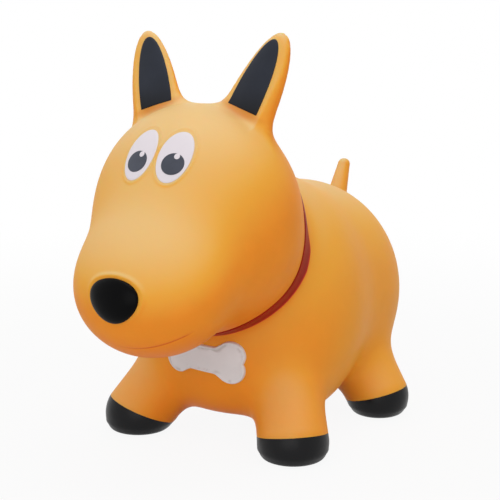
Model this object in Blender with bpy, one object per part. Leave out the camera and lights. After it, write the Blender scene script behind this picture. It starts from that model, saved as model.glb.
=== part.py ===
"""Bouncy ride-on dog: a hollow blow-up hopper with four feet to stand on, two ears to hold and an air plug.

The dog faces -Y, its left side is +X and its feet stand on z = 0. All lengths are metres.
The skin is one smooth inflated form. It is described by a field that is negative inside the dog:
ellipsoids and tapered limbs that run into each other over named blend reaches. Blender's spheres and
voxel remesh give the first mesh of each surface, and its points are then settled onto that field.
"""
import bmesh
import bpy
import math
import numpy as np
from mathutils import Matrix, Vector

# Skin: a moulded soft wall, and the running gap kept between neighbouring solids
WALL = 0.003
GAP = 0.0003
SKIN_CLEARANCE = 0.0005

# Torso: chest and rump with a seat between them, and the flat of the belly
CHEST_Y = 0.0134
CHEST_Z = 0.1555
CHEST_HALF_WIDTH = 0.145
CHEST_HALF_LENGTH = 0.119
CHEST_HALF_HEIGHT = 0.175
CHEST_PITCH = -9.3
RUMP_BEHIND_CHEST = 0.1435
RUMP_Z = 0.1555
RUMP_HALF_WIDTH = 0.135
RUMP_HALF_LENGTH = 0.120
RUMP_HALF_HEIGHT = 0.144
TORSO_BLEND = 0.122
BELLY_CLEARANCE = 0.030
BELLY_BLEND = 0.050

# Neck: the swelling of the torso that the head sits on
NECK_BEFORE_CHEST = 0.0915
NECK_Z = 0.266
NECK_RADIUS = 0.111
NECK_BLEND = 0.030
CREASE_BLEND = 0.0246
CHAMBER_CREASE_SHARE = 0.45

# Head: skull and muzzle
SKULL_BEFORE_CHEST = 0.130
SKULL_Z = 0.290
SKULL_HALF_WIDTH = 0.132
SKULL_HALF_LENGTH = 0.1025
SKULL_HALF_HEIGHT = 0.136
MUZZLE_BEFORE_SKULL = 0.1025
MUZZLE_BELOW_SKULL = 0.067
MUZZLE_HALF_WIDTH = 0.094
MUZZLE_HALF_LENGTH = 0.0605
MUZZLE_HALF_HEIGHT = 0.076
MUZZLE_PITCH = -19.0
MUZZLE_BLEND = 0.107

# Ears: flat leaves, splayed out and leaning back, with a shallow dish in front
EAR_SIDE = 0.058
EAR_BEHIND_SKULL = 0.0075
EAR_ABOVE_SKULL = 0.1125
EAR_HALF_WIDTH = 0.0335
EAR_HALF_THICKNESS = 0.015
EAR_LENGTH = 0.1165
EAR_SPLAY = 19.7
EAR_LEAN = 16.4
EAR_YAW = -3.7
EAR_BLEND = 0.039
EAR_DISH_DEPTH = 0.0035
EAR_DISH_MARGIN = 0.004

# Front legs: tapered limbs from hip to foot
FRONT_HIP_SIDE = 0.063
FRONT_HIP_BEFORE_CHEST = 0.0285
FRONT_HIP_Z = 0.125
FRONT_HIP_RADIUS = 0.038
FRONT_FOOT_SIDE = 0.1125
FRONT_FOOT_BEFORE_CHEST = 0.0955
FRONT_FOOT_Z = 0.0205
FRONT_FOOT_RADIUS = 0.044

# Rear legs
REAR_HIP_SIDE = 0.0475
REAR_HIP_BEHIND_CHEST = 0.145
REAR_HIP_Z = 0.139
REAR_HIP_RADIUS = 0.0395
REAR_FOOT_SIDE = 0.129
REAR_FOOT_BEHIND_CHEST = 0.115
REAR_FOOT_Z = 0.024
REAR_FOOT_RADIUS = 0.0415
LEG_BLEND = 0.0425
SOLE_BLEND = 0.012
SOLE_THICKNESS = 0.005
SOLE_FILLET = 0.004
SOLE_TRIM = 0.0008

# Colour line of each foot: its height at the foot's middle and how it climbs outward and forward
FRONT_LINE_HEIGHT = 0.0250
FRONT_LINE_OUTWARD_SLOPE = 0.25
FRONT_LINE_FORWARD_SLOPE = 0.31
REAR_LINE_HEIGHT = 0.0287
REAR_LINE_OUTWARD_SLOPE = 0.297
REAR_LINE_FORWARD_SLOPE = -0.022

# Tail: a short upright stub
TAIL_ROOT_BEHIND_CHEST = 0.2395
TAIL_ROOT_Z = 0.256
TAIL_ROOT_RADIUS = 0.0155
TAIL_TIP_BEHIND_CHEST = 0.2675
TAIL_TIP_Z = 0.310
TAIL_TIP_RADIUS = 0.0095
TAIL_BLEND = 0.012

# Collar: a low band that fills the crease between head and torso
COLLAR_HEADWARD_REACH = 0.003
COLLAR_BODYWARD_REACH = 0.0185
COLLAR_THROAT_SHIFT = 0.0175
COLLAR_THICKNESS = 0.0025
COLLAR_EDGE = 0.0012
COLLAR_TILT = 50.0

# Nose: a raised rounded triangle
NOSE_ASIDE = -0.0066
NOSE_Z = 0.2212
NOSE_HALF_WIDTH = 0.0325
NOSE_HALF_HEIGHT = 0.0252
NOSE_TAPER_SHARE = 0.185
NOSE_HEIGHT = 0.008
NOSE_EDGE = 0.0025

# Eyes: white oval, round iris and a glint, each laid on the last
EYE_SIDE_LEFT = 0.0210
EYE_SIDE_RIGHT = 0.0255
EYE_Z = 0.3733
EYE_HALF_WIDTH = 0.0206
EYE_HALF_HEIGHT = 0.0329
EYE_LEAN_LEFT = 11.3
EYE_LEAN_RIGHT = 0.4
EYE_THICKNESS = 0.0012
PUPIL_DROP = 0.0097
PUPIL_RADIUS = 0.0138
PUPIL_THICKNESS = 0.0009
GLINT_ASIDE = 0.0038
GLINT_RISE = 0.0092
GLINT_RADIUS = 0.0035
GLINT_THICKNESS = 0.0006
TRIM_EDGE = 0.0004

# Ear linings: dark leaves lying in the ears' dishes
LINING_BASE = 0.0165
LINING_TIP = 0.1050
LINING_HALF_WIDTH = 0.0212
LINING_INWARD_SHIFT = 0.0045
LINING_TIP_POWER = 2.2
LINING_THICKNESS = 0.0012

# Bone: a low relief on the chest
BONE_Z = 0.1152
BONE_HALF_LENGTH = 0.0556
BONE_KNOB_RADIUS = 0.0187
BONE_KNOB_SPREAD = 0.0080
BONE_SHAFT_HALF_WIDTH = 0.0175
BONE_TURN = -4.2
BONE_THICKNESS = 0.0032
BONE_EDGE = 0.0014

# Valve under the belly: a flanged seat welded into the skin, and the plug pushed into it
VALVE_BEHIND_CHEST = 0.085
SEAT_BORE_RADIUS = 0.0046
SEAT_TAPER_SHARE = 0.88
SEAT_TUBE_WALL = 0.0018
SEAT_TUBE_LENGTH = 0.0085
SEAT_FLANGE_RADIUS = 0.0125
SEAT_FLANGE_THICKNESS = 0.0014
PLUG_HEAD_RADIUS = 0.0100
PLUG_HEAD_THICKNESS = 0.0022
PLUG_SHANK_LENGTH = 0.0125
PLUG_EDGE = 0.0006
PLUG_CORE_SHARE = 0.55

# Shares of the way from the middle to the rim at which rings of points lie on flat and domed pieces
SLAB_RING_SHARES = (0.5, 0.93, 1)
DOME_RING_SHARES = (0.45, 0.8, 0.95, 1)
SLAB_RIM_POWER = 8

# Points round each outline
TURN_POINTS = 24
EYE_POINTS = 26
PUPIL_POINTS = 20
GLINT_POINTS = 12
NOSE_POINTS = 28
BONE_POINTS = 48
LINING_SIDE_POINTS = 21
LINING_ROOT_POINTS = 7
COLLAR_POINTS = 60
COLLAR_LEVELS = 5

# Foot blocks are wider than the foot by this share; the air in an ear stops this many walls short of its tip
FOOT_BLOCK_SHARE = 1.16
EAR_TIP_WALLS = 2

# Meshing
OUTER_VOXEL = 0.0055
INNER_VOXEL = 0.0060
OUTER_FACES = 5600
INNER_FACES = 2600
RELAX_ROUNDS = 4
PROBE_STEP = 0.0002
MAX_STEP = 0.008
OVERRUN = 0.020

# Searches: the share of a field's value that a ray moves at a time, the least slopes that are trusted,
# and the rounds that bring the collar's points to the crease
RAY_STEP_SHARE = 0.7
LEAST_SLOPE_SQUARED = 0.1
LEAST_CROSSING = 0.05
CREASE_ROUNDS = 25

# Worked out once from the sizes above
RUMP_Y = CHEST_Y + RUMP_BEHIND_CHEST
NECK_Y = CHEST_Y - NECK_BEFORE_CHEST
SKULL_Y = CHEST_Y - SKULL_BEFORE_CHEST
MUZZLE_Y = SKULL_Y - MUZZLE_BEFORE_SKULL
MUZZLE_Z = SKULL_Z - MUZZLE_BELOW_SKULL
VALVE_Y = CHEST_Y + VALVE_BEHIND_CHEST
EAR_ROOT = np.array((EAR_SIDE, SKULL_Y + EAR_BEHIND_SKULL, SKULL_Z + EAR_ABOVE_SKULL))
FAR = CHEST_HALF_LENGTH + SKULL_BEFORE_CHEST + MUZZLE_BEFORE_SKULL + MUZZLE_HALF_LENGTH

LEGS = {
    "front": {
        "hip": (FRONT_HIP_SIDE, CHEST_Y - FRONT_HIP_BEFORE_CHEST, FRONT_HIP_Z),
        "hip_radius": FRONT_HIP_RADIUS,
        "foot": (FRONT_FOOT_SIDE, CHEST_Y - FRONT_FOOT_BEFORE_CHEST, FRONT_FOOT_Z),
        "foot_radius": FRONT_FOOT_RADIUS,
        "line": (FRONT_LINE_HEIGHT, FRONT_LINE_OUTWARD_SLOPE, FRONT_LINE_FORWARD_SLOPE),
    },
    "rear": {
        "hip": (REAR_HIP_SIDE, CHEST_Y + REAR_HIP_BEHIND_CHEST, REAR_HIP_Z),
        "hip_radius": REAR_HIP_RADIUS,
        "foot": (REAR_FOOT_SIDE, CHEST_Y + REAR_FOOT_BEHIND_CHEST, REAR_FOOT_Z),
        "foot_radius": REAR_FOOT_RADIUS,
        "line": (REAR_LINE_HEIGHT, REAR_LINE_OUTWARD_SLOPE, REAR_LINE_FORWARD_SLOPE),
    },
}
TAIL_ROOT = (0, CHEST_Y + TAIL_ROOT_BEHIND_CHEST, TAIL_ROOT_Z)
TAIL_TIP = (0, CHEST_Y + TAIL_TIP_BEHIND_CHEST, TAIL_TIP_Z)


# Fields: each takes an array of points and gives about the distance to the surface, negative inside


def ellipsoid(points, centre, radii, pitch=0.0):
    """Distance to an ellipsoid whose axes are pitched about X by some degrees."""
    local = points - np.array(centre)
    if pitch:
        local = local @ np.array(Matrix.Rotation(math.radians(pitch), 3, "X"))
    near = np.linalg.norm(local / np.array(radii), axis=-1)
    steep = np.linalg.norm(local / np.array(radii) ** 2, axis=-1)
    return near * (near - 1) / np.maximum(steep, 1)


def limb(points, start, end, start_radius, end_radius):
    """Distance to a tapered limb: two balls and the cone that touches both."""
    axis = np.array(end) - np.array(start)
    length = np.linalg.norm(axis)
    axis = axis / length
    local = points - np.array(start)
    along = local @ axis
    aside = np.linalg.norm(local - along[..., None] * axis, axis=-1)
    lean = (start_radius - end_radius) / length
    share = np.clip((along + aside * lean / math.sqrt(1 - lean**2)) / length, 0, 1)
    foot = share * length
    radius = start_radius + share * (end_radius - start_radius)
    return np.hypot(along - foot, aside) - radius


def union(first, second, reach):
    """Smooth union: the two surfaces run into each other where they come within the reach."""
    share = np.maximum(reach - np.abs(first - second), 0) / reach
    return np.minimum(first, second) - share**3 * reach / 6


def trimmed(first, second, reach):
    """Smooth intersection of two fields."""
    return -union(-first, -second, reach)


def folded(points):
    """The points with their X made positive, for what the two sides share."""
    return np.stack((np.abs(points[..., 0]), points[..., 1], points[..., 2]), axis=-1)


def ear_axes():
    """Rows: across the ear towards its outer edge, out of its front, and from root to tip."""
    splay, lean, yaw = (math.radians(angle) for angle in (EAR_SPLAY, EAR_LEAN, EAR_YAW))
    upward = Vector((math.tan(splay), math.tan(lean), 1)).normalized()
    front = Vector((math.sin(yaw), -math.cos(yaw), 0))
    front = (front - upward * front.dot(upward)).normalized()
    across = upward.cross(front)
    return np.array((across, front, upward))


EAR_AXES = ear_axes()


def ear_field(points, wall=0.0):
    """Distance to the nearer ear's surface, or to the air inside it where a wall is given."""
    local = (folded(points) - EAR_ROOT) @ EAR_AXES.T
    radii = (EAR_HALF_WIDTH - wall, EAR_HALF_THICKNESS - wall, EAR_LENGTH - EAR_TIP_WALLS * wall)
    leaf = ellipsoid(local, (0, 0, 0), radii)
    middle = (LINING_BASE + LINING_TIP) / 2
    half_width = LINING_HALF_WIDTH + EAR_DISH_MARGIN
    half_length = (LINING_TIP - LINING_BASE) / 2 + EAR_DISH_MARGIN
    spread = ((local[..., 0] + LINING_INWARD_SHIFT) / half_width) ** 2
    spread = spread + ((local[..., 2] - middle) / half_length) ** 2
    in_front = np.clip(local[..., 1] / (EAR_HALF_THICKNESS / 2), 0, 1)
    return leaf + EAR_DISH_DEPTH * in_front * np.clip(1 - spread**2, 0, 1)


def head_field(points, wall=0.0):
    skull = ellipsoid(
        points,
        (0, SKULL_Y, SKULL_Z),
        (SKULL_HALF_WIDTH, SKULL_HALF_LENGTH, SKULL_HALF_HEIGHT),
    )
    muzzle = ellipsoid(
        points,
        (0, MUZZLE_Y, MUZZLE_Z),
        (MUZZLE_HALF_WIDTH, MUZZLE_HALF_LENGTH, MUZZLE_HALF_HEIGHT),
        MUZZLE_PITCH,
    )
    return union(union(skull, muzzle, MUZZLE_BLEND) + wall, ear_field(points, wall), EAR_BLEND)


def torso_field(points):
    chest = ellipsoid(
        points,
        (0, CHEST_Y, CHEST_Z),
        (CHEST_HALF_WIDTH, CHEST_HALF_LENGTH, CHEST_HALF_HEIGHT),
        CHEST_PITCH,
    )
    rump = ellipsoid(
        points,
        (0, RUMP_Y, RUMP_Z),
        (RUMP_HALF_WIDTH, RUMP_HALF_LENGTH, RUMP_HALF_HEIGHT),
    )
    above_belly = BELLY_CLEARANCE - points[..., 2]
    return trimmed(union(chest, rump, TORSO_BLEND), above_belly, BELLY_BLEND)


def leg_field(points, leg):
    return limb(points, leg["hip"], leg["foot"], leg["hip_radius"], leg["foot_radius"])


def body_field(points):
    beside = folded(points)
    legs = np.minimum(leg_field(beside, LEGS["front"]), leg_field(beside, LEGS["rear"]))
    tail = limb(points, TAIL_ROOT, TAIL_TIP, TAIL_ROOT_RADIUS, TAIL_TIP_RADIUS)
    neck = np.linalg.norm(points - np.array((0, NECK_Y, NECK_Z)), axis=-1) - NECK_RADIUS
    field = union(torso_field(points), legs, LEG_BLEND)
    field = union(field, tail, TAIL_BLEND)
    return union(field, neck, NECK_BLEND)


def form_field(points):
    return union(body_field(points), head_field(points), CREASE_BLEND)


def skin_field(points):
    """Outside of the dog, with the feet flattened a trim's depth under the floor."""
    return trimmed(form_field(points), -points[..., 2] - SOLE_TRIM, SOLE_BLEND)


def chamber_field(points):
    """Air chamber: a wall's thickness inside the skin, more in the neck's crease and over the soles."""
    sharper = CREASE_BLEND * CHAMBER_CREASE_SHARE
    within = union(body_field(points) + WALL, head_field(points, WALL), sharper)
    return trimmed(within, SOLE_THICKNESS - points[..., 2], SOLE_FILLET)


# Points on a field's surface


def gradient(field, points):
    """Slope of a field by central differences."""
    slopes = []
    for step in np.eye(3) * PROBE_STEP:
        slopes.append((field(points + step) - field(points - step)) / (2 * PROBE_STEP))
    return np.stack(slopes, axis=-1)


def settled(field, points, level=0.0, rounds=7):
    """The points moved along the field's slope until they lie at the level."""
    for _ in range(rounds):
        slope = gradient(field, points)
        move = (field(points) - level) / np.maximum((slope**2).sum(axis=-1), LEAST_SLOPE_SQUARED)
        points = points - slope * np.clip(move, -MAX_STEP, MAX_STEP)[..., None]
    return points


def landed(field, starts, direction, level=0.0, rounds=60):
    """Where rays that start outside the form first reach the level."""
    points = np.array(starts, dtype=float)
    direction = np.array(direction, dtype=float)
    for _ in range(rounds):
        points = points + direction * (field(points) - level)[..., None] * RAY_STEP_SHARE
    return points


# Blender helpers


def colour_material(name, colour, roughness):
    material = bpy.data.materials.new(name)
    material.use_nodes = True
    shader = material.node_tree.nodes["Principled BSDF"]
    shader.inputs["Base Color"].default_value = (*colour, 1)
    shader.inputs["Roughness"].default_value = roughness
    shader.inputs["Metallic"].default_value = 0
    material.diffuse_color = (*colour, 1)
    return material


def linked(name, mesh, material=None):
    item = bpy.data.objects.new(name, mesh)
    bpy.context.scene.collection.objects.link(item)
    if material:
        mesh.materials.clear()
        mesh.materials.append(material)
    return item


def mesh_from_bmesh(name, built):
    """Closes a bmesh build: faces outward, smooth where they bend gently."""
    bmesh.ops.recalc_face_normals(built, faces=built.faces[:])
    mesh = bpy.data.meshes.new(name)
    built.to_mesh(mesh)
    built.free()
    return mesh


def evaluated(item):
    """A mesh of the item with its modifiers applied."""
    bpy.context.view_layer.update()
    graph = bpy.context.evaluated_depsgraph_get()
    return bpy.data.meshes.new_from_object(item.evaluated_get(graph))


def discard(item):
    mesh = item.data
    bpy.data.objects.remove(item, do_unlink=True)
    bpy.data.meshes.remove(mesh)


def smoothed(item, angle=40.0):
    item.data.shade_smooth()
    item.data.set_sharp_from_angle(angle=math.radians(angle))
    return item


def points_of(mesh):
    points = np.empty(len(mesh.vertices) * 3)
    mesh.vertices.foreach_get("co", points)
    return points.reshape(-1, 3)


def edges_of(mesh):
    ends = np.empty(len(mesh.edges) * 2, dtype=int)
    mesh.edges.foreach_get("vertices", ends)
    return ends.reshape(-1, 2)


# The skin's two surfaces


def add_ball(built, centre, radii, pitch=0.0):
    place = Matrix.Translation(centre) @ Matrix.Rotation(math.radians(pitch), 4, "X")
    shape = place @ Matrix.Diagonal((*radii, 1))
    return bmesh.ops.create_icosphere(built, subdivisions=4, radius=1, matrix=shape)["verts"]


def add_limb(built, start, end, start_radius, end_radius):
    """A tapered limb: the hull of the balls at its two ends."""
    balls = bmesh.new()
    for centre, radius in ((start, start_radius), (end, end_radius)):
        place = Matrix.Translation(centre) @ Matrix.Diagonal((radius, radius, radius, 1))
        bmesh.ops.create_icosphere(balls, subdivisions=3, radius=1, matrix=place)
    corners = [built.verts.new(corner.co) for corner in balls.verts]
    balls.free()
    hull = bmesh.ops.convex_hull(built, input=corners, use_existing_faces=False)
    covered = [item for item in hull["geom_interior"] if isinstance(item, bmesh.types.BMVert)]
    bmesh.ops.delete(built, geom=covered, context="VERTS")


def raw_form(inset):
    """Every ball and limb of the dog, unblended and made smaller by the inset."""
    built = bmesh.new()
    less = Vector((inset, inset, inset))
    chest = Vector((CHEST_HALF_WIDTH, CHEST_HALF_LENGTH, CHEST_HALF_HEIGHT)) - less
    add_ball(built, (0, CHEST_Y, CHEST_Z), chest, CHEST_PITCH)
    rump = Vector((RUMP_HALF_WIDTH, RUMP_HALF_LENGTH, RUMP_HALF_HEIGHT)) - less
    add_ball(built, (0, RUMP_Y, RUMP_Z), rump)
    add_ball(built, (0, NECK_Y, NECK_Z), Vector((NECK_RADIUS, NECK_RADIUS, NECK_RADIUS)) - less)
    skull = Vector((SKULL_HALF_WIDTH, SKULL_HALF_LENGTH, SKULL_HALF_HEIGHT)) - less
    add_ball(built, (0, SKULL_Y, SKULL_Z), skull)
    muzzle = Vector((MUZZLE_HALF_WIDTH, MUZZLE_HALF_LENGTH, MUZZLE_HALF_HEIGHT)) - less
    add_ball(built, (0, MUZZLE_Y, MUZZLE_Z), muzzle, MUZZLE_PITCH)
    add_limb(built, TAIL_ROOT, TAIL_TIP, TAIL_ROOT_RADIUS - inset, TAIL_TIP_RADIUS - inset)
    ear_length = EAR_LENGTH - EAR_TIP_WALLS * inset
    leaf = (EAR_HALF_WIDTH - inset, EAR_HALF_THICKNESS - inset, ear_length)
    for side in (1, -1):
        mirror = Matrix.Diagonal((side, 1, 1, 1))
        for leg in LEGS.values():
            hip, foot = (mirror @ Vector(leg[end]) for end in ("hip", "foot"))
            add_limb(built, hip, foot, leg["hip_radius"] - inset, leg["foot_radius"] - inset)
        turn = Matrix(EAR_AXES.tolist()).transposed().to_4x4()
        shape = mirror @ Matrix.Translation(EAR_ROOT) @ turn @ Matrix.Diagonal((*leaf, 1))
        bmesh.ops.create_icosphere(built, subdivisions=5, radius=1, matrix=shape)
    bmesh.ops.recalc_face_normals(built, faces=built.faces[:])
    mesh = bpy.data.meshes.new("raw_form")
    built.to_mesh(mesh)
    built.free()
    return mesh


def relaxed(points, edges, rounds, field):
    """Evens out the points' spacing, keeping them on the field's surface."""
    first, second = edges.T
    count = np.bincount(edges.ravel(), minlength=len(points))[:, None]
    for _ in range(rounds):
        total = np.zeros_like(points)
        np.add.at(total, first, points[second])
        np.add.at(total, second, points[first])
        points = settled(field, (points + total / count) / 2, rounds=2)
    return points


def surface_mesh(name, field, inset, voxel, faces):
    """A closed mesh of a field's surface, with its facets concentrated where it bends."""
    item = linked(name, raw_form(inset))
    remesh = item.modifiers.new("Remesh", "REMESH")
    remesh.mode = "VOXEL"
    remesh.voxel_size = voxel
    dense = evaluated(item)
    discard(item)
    points = relaxed(settled(field, points_of(dense)), edges_of(dense), RELAX_ROUNDS, field)
    dense.vertices.foreach_set("co", points.ravel())
    dense.update()
    item = linked(name, dense)
    thin = item.modifiers.new("Decimate", "DECIMATE")
    thin.ratio = min(faces / (2 * len(dense.polygons)), 1)
    thin.use_collapse_triangulate = True
    light = evaluated(item)
    discard(item)
    points = settled(field, points_of(light))
    light.vertices.foreach_set("co", points.ravel())
    light.update()
    return light


def skin_solid(outside):
    """The whole hollow skin: outer surface, and the air chamber's surface turned inside out."""
    built = bmesh.new()
    built.from_mesh(surface_mesh("chamber", chamber_field, WALL, INNER_VOXEL, INNER_FACES))
    bmesh.ops.reverse_faces(built, faces=built.faces[:])
    built.from_mesh(outside)
    mesh = bpy.data.meshes.new("whole_skin")
    built.to_mesh(mesh)
    built.free()
    return mesh


# Cutting the skin into its colour zones


def foot_block(leg, side, lift):
    """A block that holds one foot up to its colour line, raised by the lift."""
    height, outward, forward = leg["line"]
    upward = Vector((-outward * side, forward, 1)).normalized()
    middle = Vector((leg["foot"][0] * side, leg["foot"][1], height)) + upward * lift
    across = Vector((side, 0, outward)).normalized()
    along = upward.cross(across)
    reach = leg["foot_radius"] * FOOT_BLOCK_SHARE
    turn = Matrix((across, along, upward)).transposed().to_4x4()
    built = bmesh.new()
    place = Matrix.Translation(middle) @ turn @ Matrix.Diagonal((reach, reach, reach, 1))
    bmesh.ops.create_cube(built, size=2, matrix=place @ Matrix.Translation((0, 0, -1)))
    return cutter_from(built, "foot_block")


def cutter_from(built, name):
    """An object that only cuts others."""
    item = linked(name, mesh_from_bmesh(name, built))
    item.hide_render = True
    item.display_type = "WIRE"
    return item


def cut(item, cutter, operation="DIFFERENCE"):
    """One exact Boolean, applied at once."""
    boolean = item.modifiers.new("Cut", "BOOLEAN")
    boolean.operation = operation
    boolean.solver = "EXACT"
    boolean.object = cutter
    mesh = evaluated(item)
    old = item.data
    item.modifiers.clear()
    item.data = mesh
    bpy.data.meshes.remove(old)


def floor_slab():
    """A slab whose top is the floor, to trim the soles flat."""
    built = bmesh.new()
    place = Matrix.Diagonal((FAR, FAR, OVERRUN, 1)) @ Matrix.Translation((0, 0, -1))
    bmesh.ops.create_cube(built, size=2, matrix=place)
    return cutter_from(built, "floor_slab")


def build_feet(skin):
    """Four black feet: hollow cups with thick flat soles, parted from the legs at the colour line."""
    black = colour_material("foot_black", (0.012, 0.012, 0.013), 0.42)
    slab = floor_slab()
    for end, leg in LEGS.items():
        for side, hand in ((1, "left"), (-1, "right")):
            foot = linked(f"foot_{end}_{hand}", skin.copy(), black)
            block = foot_block(leg, side, -GAP / 2)
            cut(foot, block, "INTERSECT")
            cut(foot, slab)
            discard(block)
            smoothed(foot, 50.0)
    discard(slab)


def build_body_shell(skin, valve):
    """The orange skin, open at its four ankles and at the valve."""
    orange = colour_material("skin_orange", (0.80, 0.36, 0.06), 0.34)
    body = linked("body_shell", skin, orange)
    for leg in LEGS.values():
        for side in (1, -1):
            block = foot_block(leg, side, GAP / 2)
            cut(body, block)
            discard(block)
    drill = turned(
        "valve_drill",
        ((0, -OVERRUN), (valve["hole"], -OVERRUN), (valve["hole"], OVERRUN), (0, OVERRUN)),
        (0, VALVE_Y, valve["z"]),
    )
    cut(body, drill)
    discard(drill)
    smoothed(body, 60.0)


# Turned pieces: the valve's seat and its plug


def turned(name, profile, centre, material=None, steps=TURN_POINTS):
    """A solid of revolution about a vertical axis, from (radius, height) points listed upward."""
    built = bmesh.new()
    rings = []
    for radius, height in profile:
        if radius == 0:
            rings.append([built.verts.new((0, 0, height))])
            continue
        ring = []
        for step in range(steps):
            angle = math.tau * step / steps
            ring.append(built.verts.new((radius * math.cos(angle), radius * math.sin(angle), height)))
        rings.append(ring)
    closed = all(len(ring) > 1 for ring in rings)
    pairs = list(zip(rings, rings[1:]))
    if closed:
        pairs.append((rings[-1], rings[0]))
    for lower, upper in pairs:
        for step in range(steps):
            after = (step + 1) % steps
            corners = [lower[step % len(lower)], lower[after % len(lower)]]
            corners += [upper[after % len(upper)], upper[step % len(upper)]]
            built.faces.new(list(dict.fromkeys(corners)))
    item = linked(name, mesh_from_bmesh(name, built), material)
    item.location = centre
    return smoothed(item)


def valve_sizes():
    """Heights and radii of the valve, from where the belly is lowest under the seat's flange."""
    angles = np.linspace(0, math.tau, TURN_POINTS, endpoint=False)
    rim = SEAT_FLANGE_RADIUS * np.stack((np.cos(angles), np.sin(angles), 0 * angles), axis=-1)
    starts = np.vstack((rim, rim / 2, 0 * rim[:1])) + np.array((0, VALVE_Y, -OVERRUN))
    skin = landed(form_field, starts, (0, 0, 1))
    return {
        "z": skin[:, 2].min(),
        "hole": SEAT_BORE_RADIUS + SEAT_TUBE_WALL + GAP,
    }


def build_valve(valve):
    """The seat: a tube through the skin with a flange under it. The plug: a head and a tapered shank."""
    clear = colour_material("valve_soft_white", (0.72, 0.70, 0.66), 0.40)
    white = colour_material("plug_white", (0.80, 0.80, 0.78), 0.32)
    flange_top = -SKIN_CLEARANCE
    flange_base = flange_top - SEAT_FLANGE_THICKNESS
    tube_top = flange_base + SEAT_TUBE_LENGTH
    bore_top = SEAT_BORE_RADIUS * SEAT_TAPER_SHARE
    tube = SEAT_BORE_RADIUS + SEAT_TUBE_WALL
    seat_profile = (
        (SEAT_BORE_RADIUS, flange_base),
        (SEAT_FLANGE_RADIUS - PLUG_EDGE, flange_base),
        (SEAT_FLANGE_RADIUS, flange_base + PLUG_EDGE),
        (SEAT_FLANGE_RADIUS, flange_top),
        (tube, flange_top),
        (tube, tube_top),
        (bore_top, tube_top),
    )
    turned("valve_seat", seat_profile, (0, VALVE_Y, valve["z"]), clear)

    head_top = flange_base - GAP
    head_base = head_top - PLUG_HEAD_THICKNESS
    root = SEAT_BORE_RADIUS - GAP
    shank_top = head_top + PLUG_SHANK_LENGTH
    slope = (SEAT_BORE_RADIUS - bore_top) / SEAT_TUBE_LENGTH
    tip = root - slope * PLUG_SHANK_LENGTH
    plug_profile = (
        (0, head_base + PLUG_EDGE),
        (PLUG_HEAD_RADIUS * PLUG_CORE_SHARE, head_base + PLUG_EDGE),
        (PLUG_HEAD_RADIUS * PLUG_CORE_SHARE + PLUG_EDGE, head_base),
        (PLUG_HEAD_RADIUS - PLUG_EDGE, head_base),
        (PLUG_HEAD_RADIUS, head_base + PLUG_EDGE),
        (PLUG_HEAD_RADIUS, head_top - PLUG_EDGE),
        (PLUG_HEAD_RADIUS - PLUG_EDGE, head_top),
        (root, head_top),
        (tip, shank_top - 2 * PLUG_EDGE),
        (tip - PLUG_EDGE, shank_top),
        (0, shank_top),
    )
    turned("air_plug", plug_profile, (0, VALVE_Y, valve["z"]), white)


# Trim laid on the skin: closed outlines dropped onto the field at two levels


def trim_frame(start, direction, lean=0.0):
    """Where a ray meets the skin, and the surface's own sideways, upward and outward directions."""
    seat = landed(form_field, np.array([start]), direction)
    outward = Vector(gradient(form_field, seat)[0]).normalized()
    sideways = Vector((0, 0, 1)).cross(outward).normalized()
    if sideways.x < 0:
        sideways = -sideways
    upward = (Vector((0, 0, 1)) - outward * outward.z).normalized()
    turn = Matrix.Rotation(math.radians(lean), 3, outward)
    return np.array(seat[0]), np.array(turn @ sideways), np.array(turn @ upward), np.array(outward)


def inlay(name, material, frame, outline, under, over, rings):
    """A closed solid over an outline, from the under level to the over level of each ring.

    under is a level above the skin. over takes a share, 0 in the middle and 1 at the rim,
    and gives the top's level there. rings are the shares of the rings of points.
    """
    seat, sideways, upward, outward = frame
    outline = np.array(outline)
    middle = outline.mean(axis=0)
    built = bmesh.new()
    sheets = []
    for level_at in (over, lambda share: under):
        sheet = []
        for share in (0, *rings):
            flat = middle + (outline - middle) * share if share else middle[None]
            starts = seat + flat[:, :1] * sideways + flat[:, 1:] * upward + outward * OVERRUN
            places = landed(form_field, starts, -outward, level_at(share))
            sheet.append([built.verts.new(place) for place in places])
        sheets.append(sheet)
    count = len(outline)
    for sheet in sheets:
        for inner, outer in zip(sheet, sheet[1:]):
            for step in range(count):
                after = (step + 1) % count
                corners = [outer[step], outer[after]]
                corners += [inner[after % len(inner)], inner[step % len(inner)]]
                built.faces.new(list(dict.fromkeys(corners)))
    top, base = sheets[0][-1], sheets[1][-1]
    for step in range(count):
        after = (step + 1) % count
        built.faces.new((top[step], top[after], base[after], base[step]))
    item = linked(name, mesh_from_bmesh(name, built), material)
    return smoothed(item, 50.0)


def slab_over(under, thickness, edge):
    """A top that is level in the middle and comes down to an edge's height at the rim."""
    return lambda share: under + (edge + (thickness - edge) * (1 - share**SLAB_RIM_POWER))


def dome_over(under, height, edge):
    """A top that swells from an edge's height at the rim to the full height in the middle."""
    return lambda share: under + edge + (height - edge) * math.sqrt(max(1 - share**2, 0))


def oval(half_width, half_height, count, shift=(0, 0)):
    angles = np.linspace(0, math.tau, count, endpoint=False)
    return np.stack(
        (shift[0] + half_width * np.cos(angles), shift[1] + half_height * np.sin(angles)), axis=-1
    )


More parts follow.
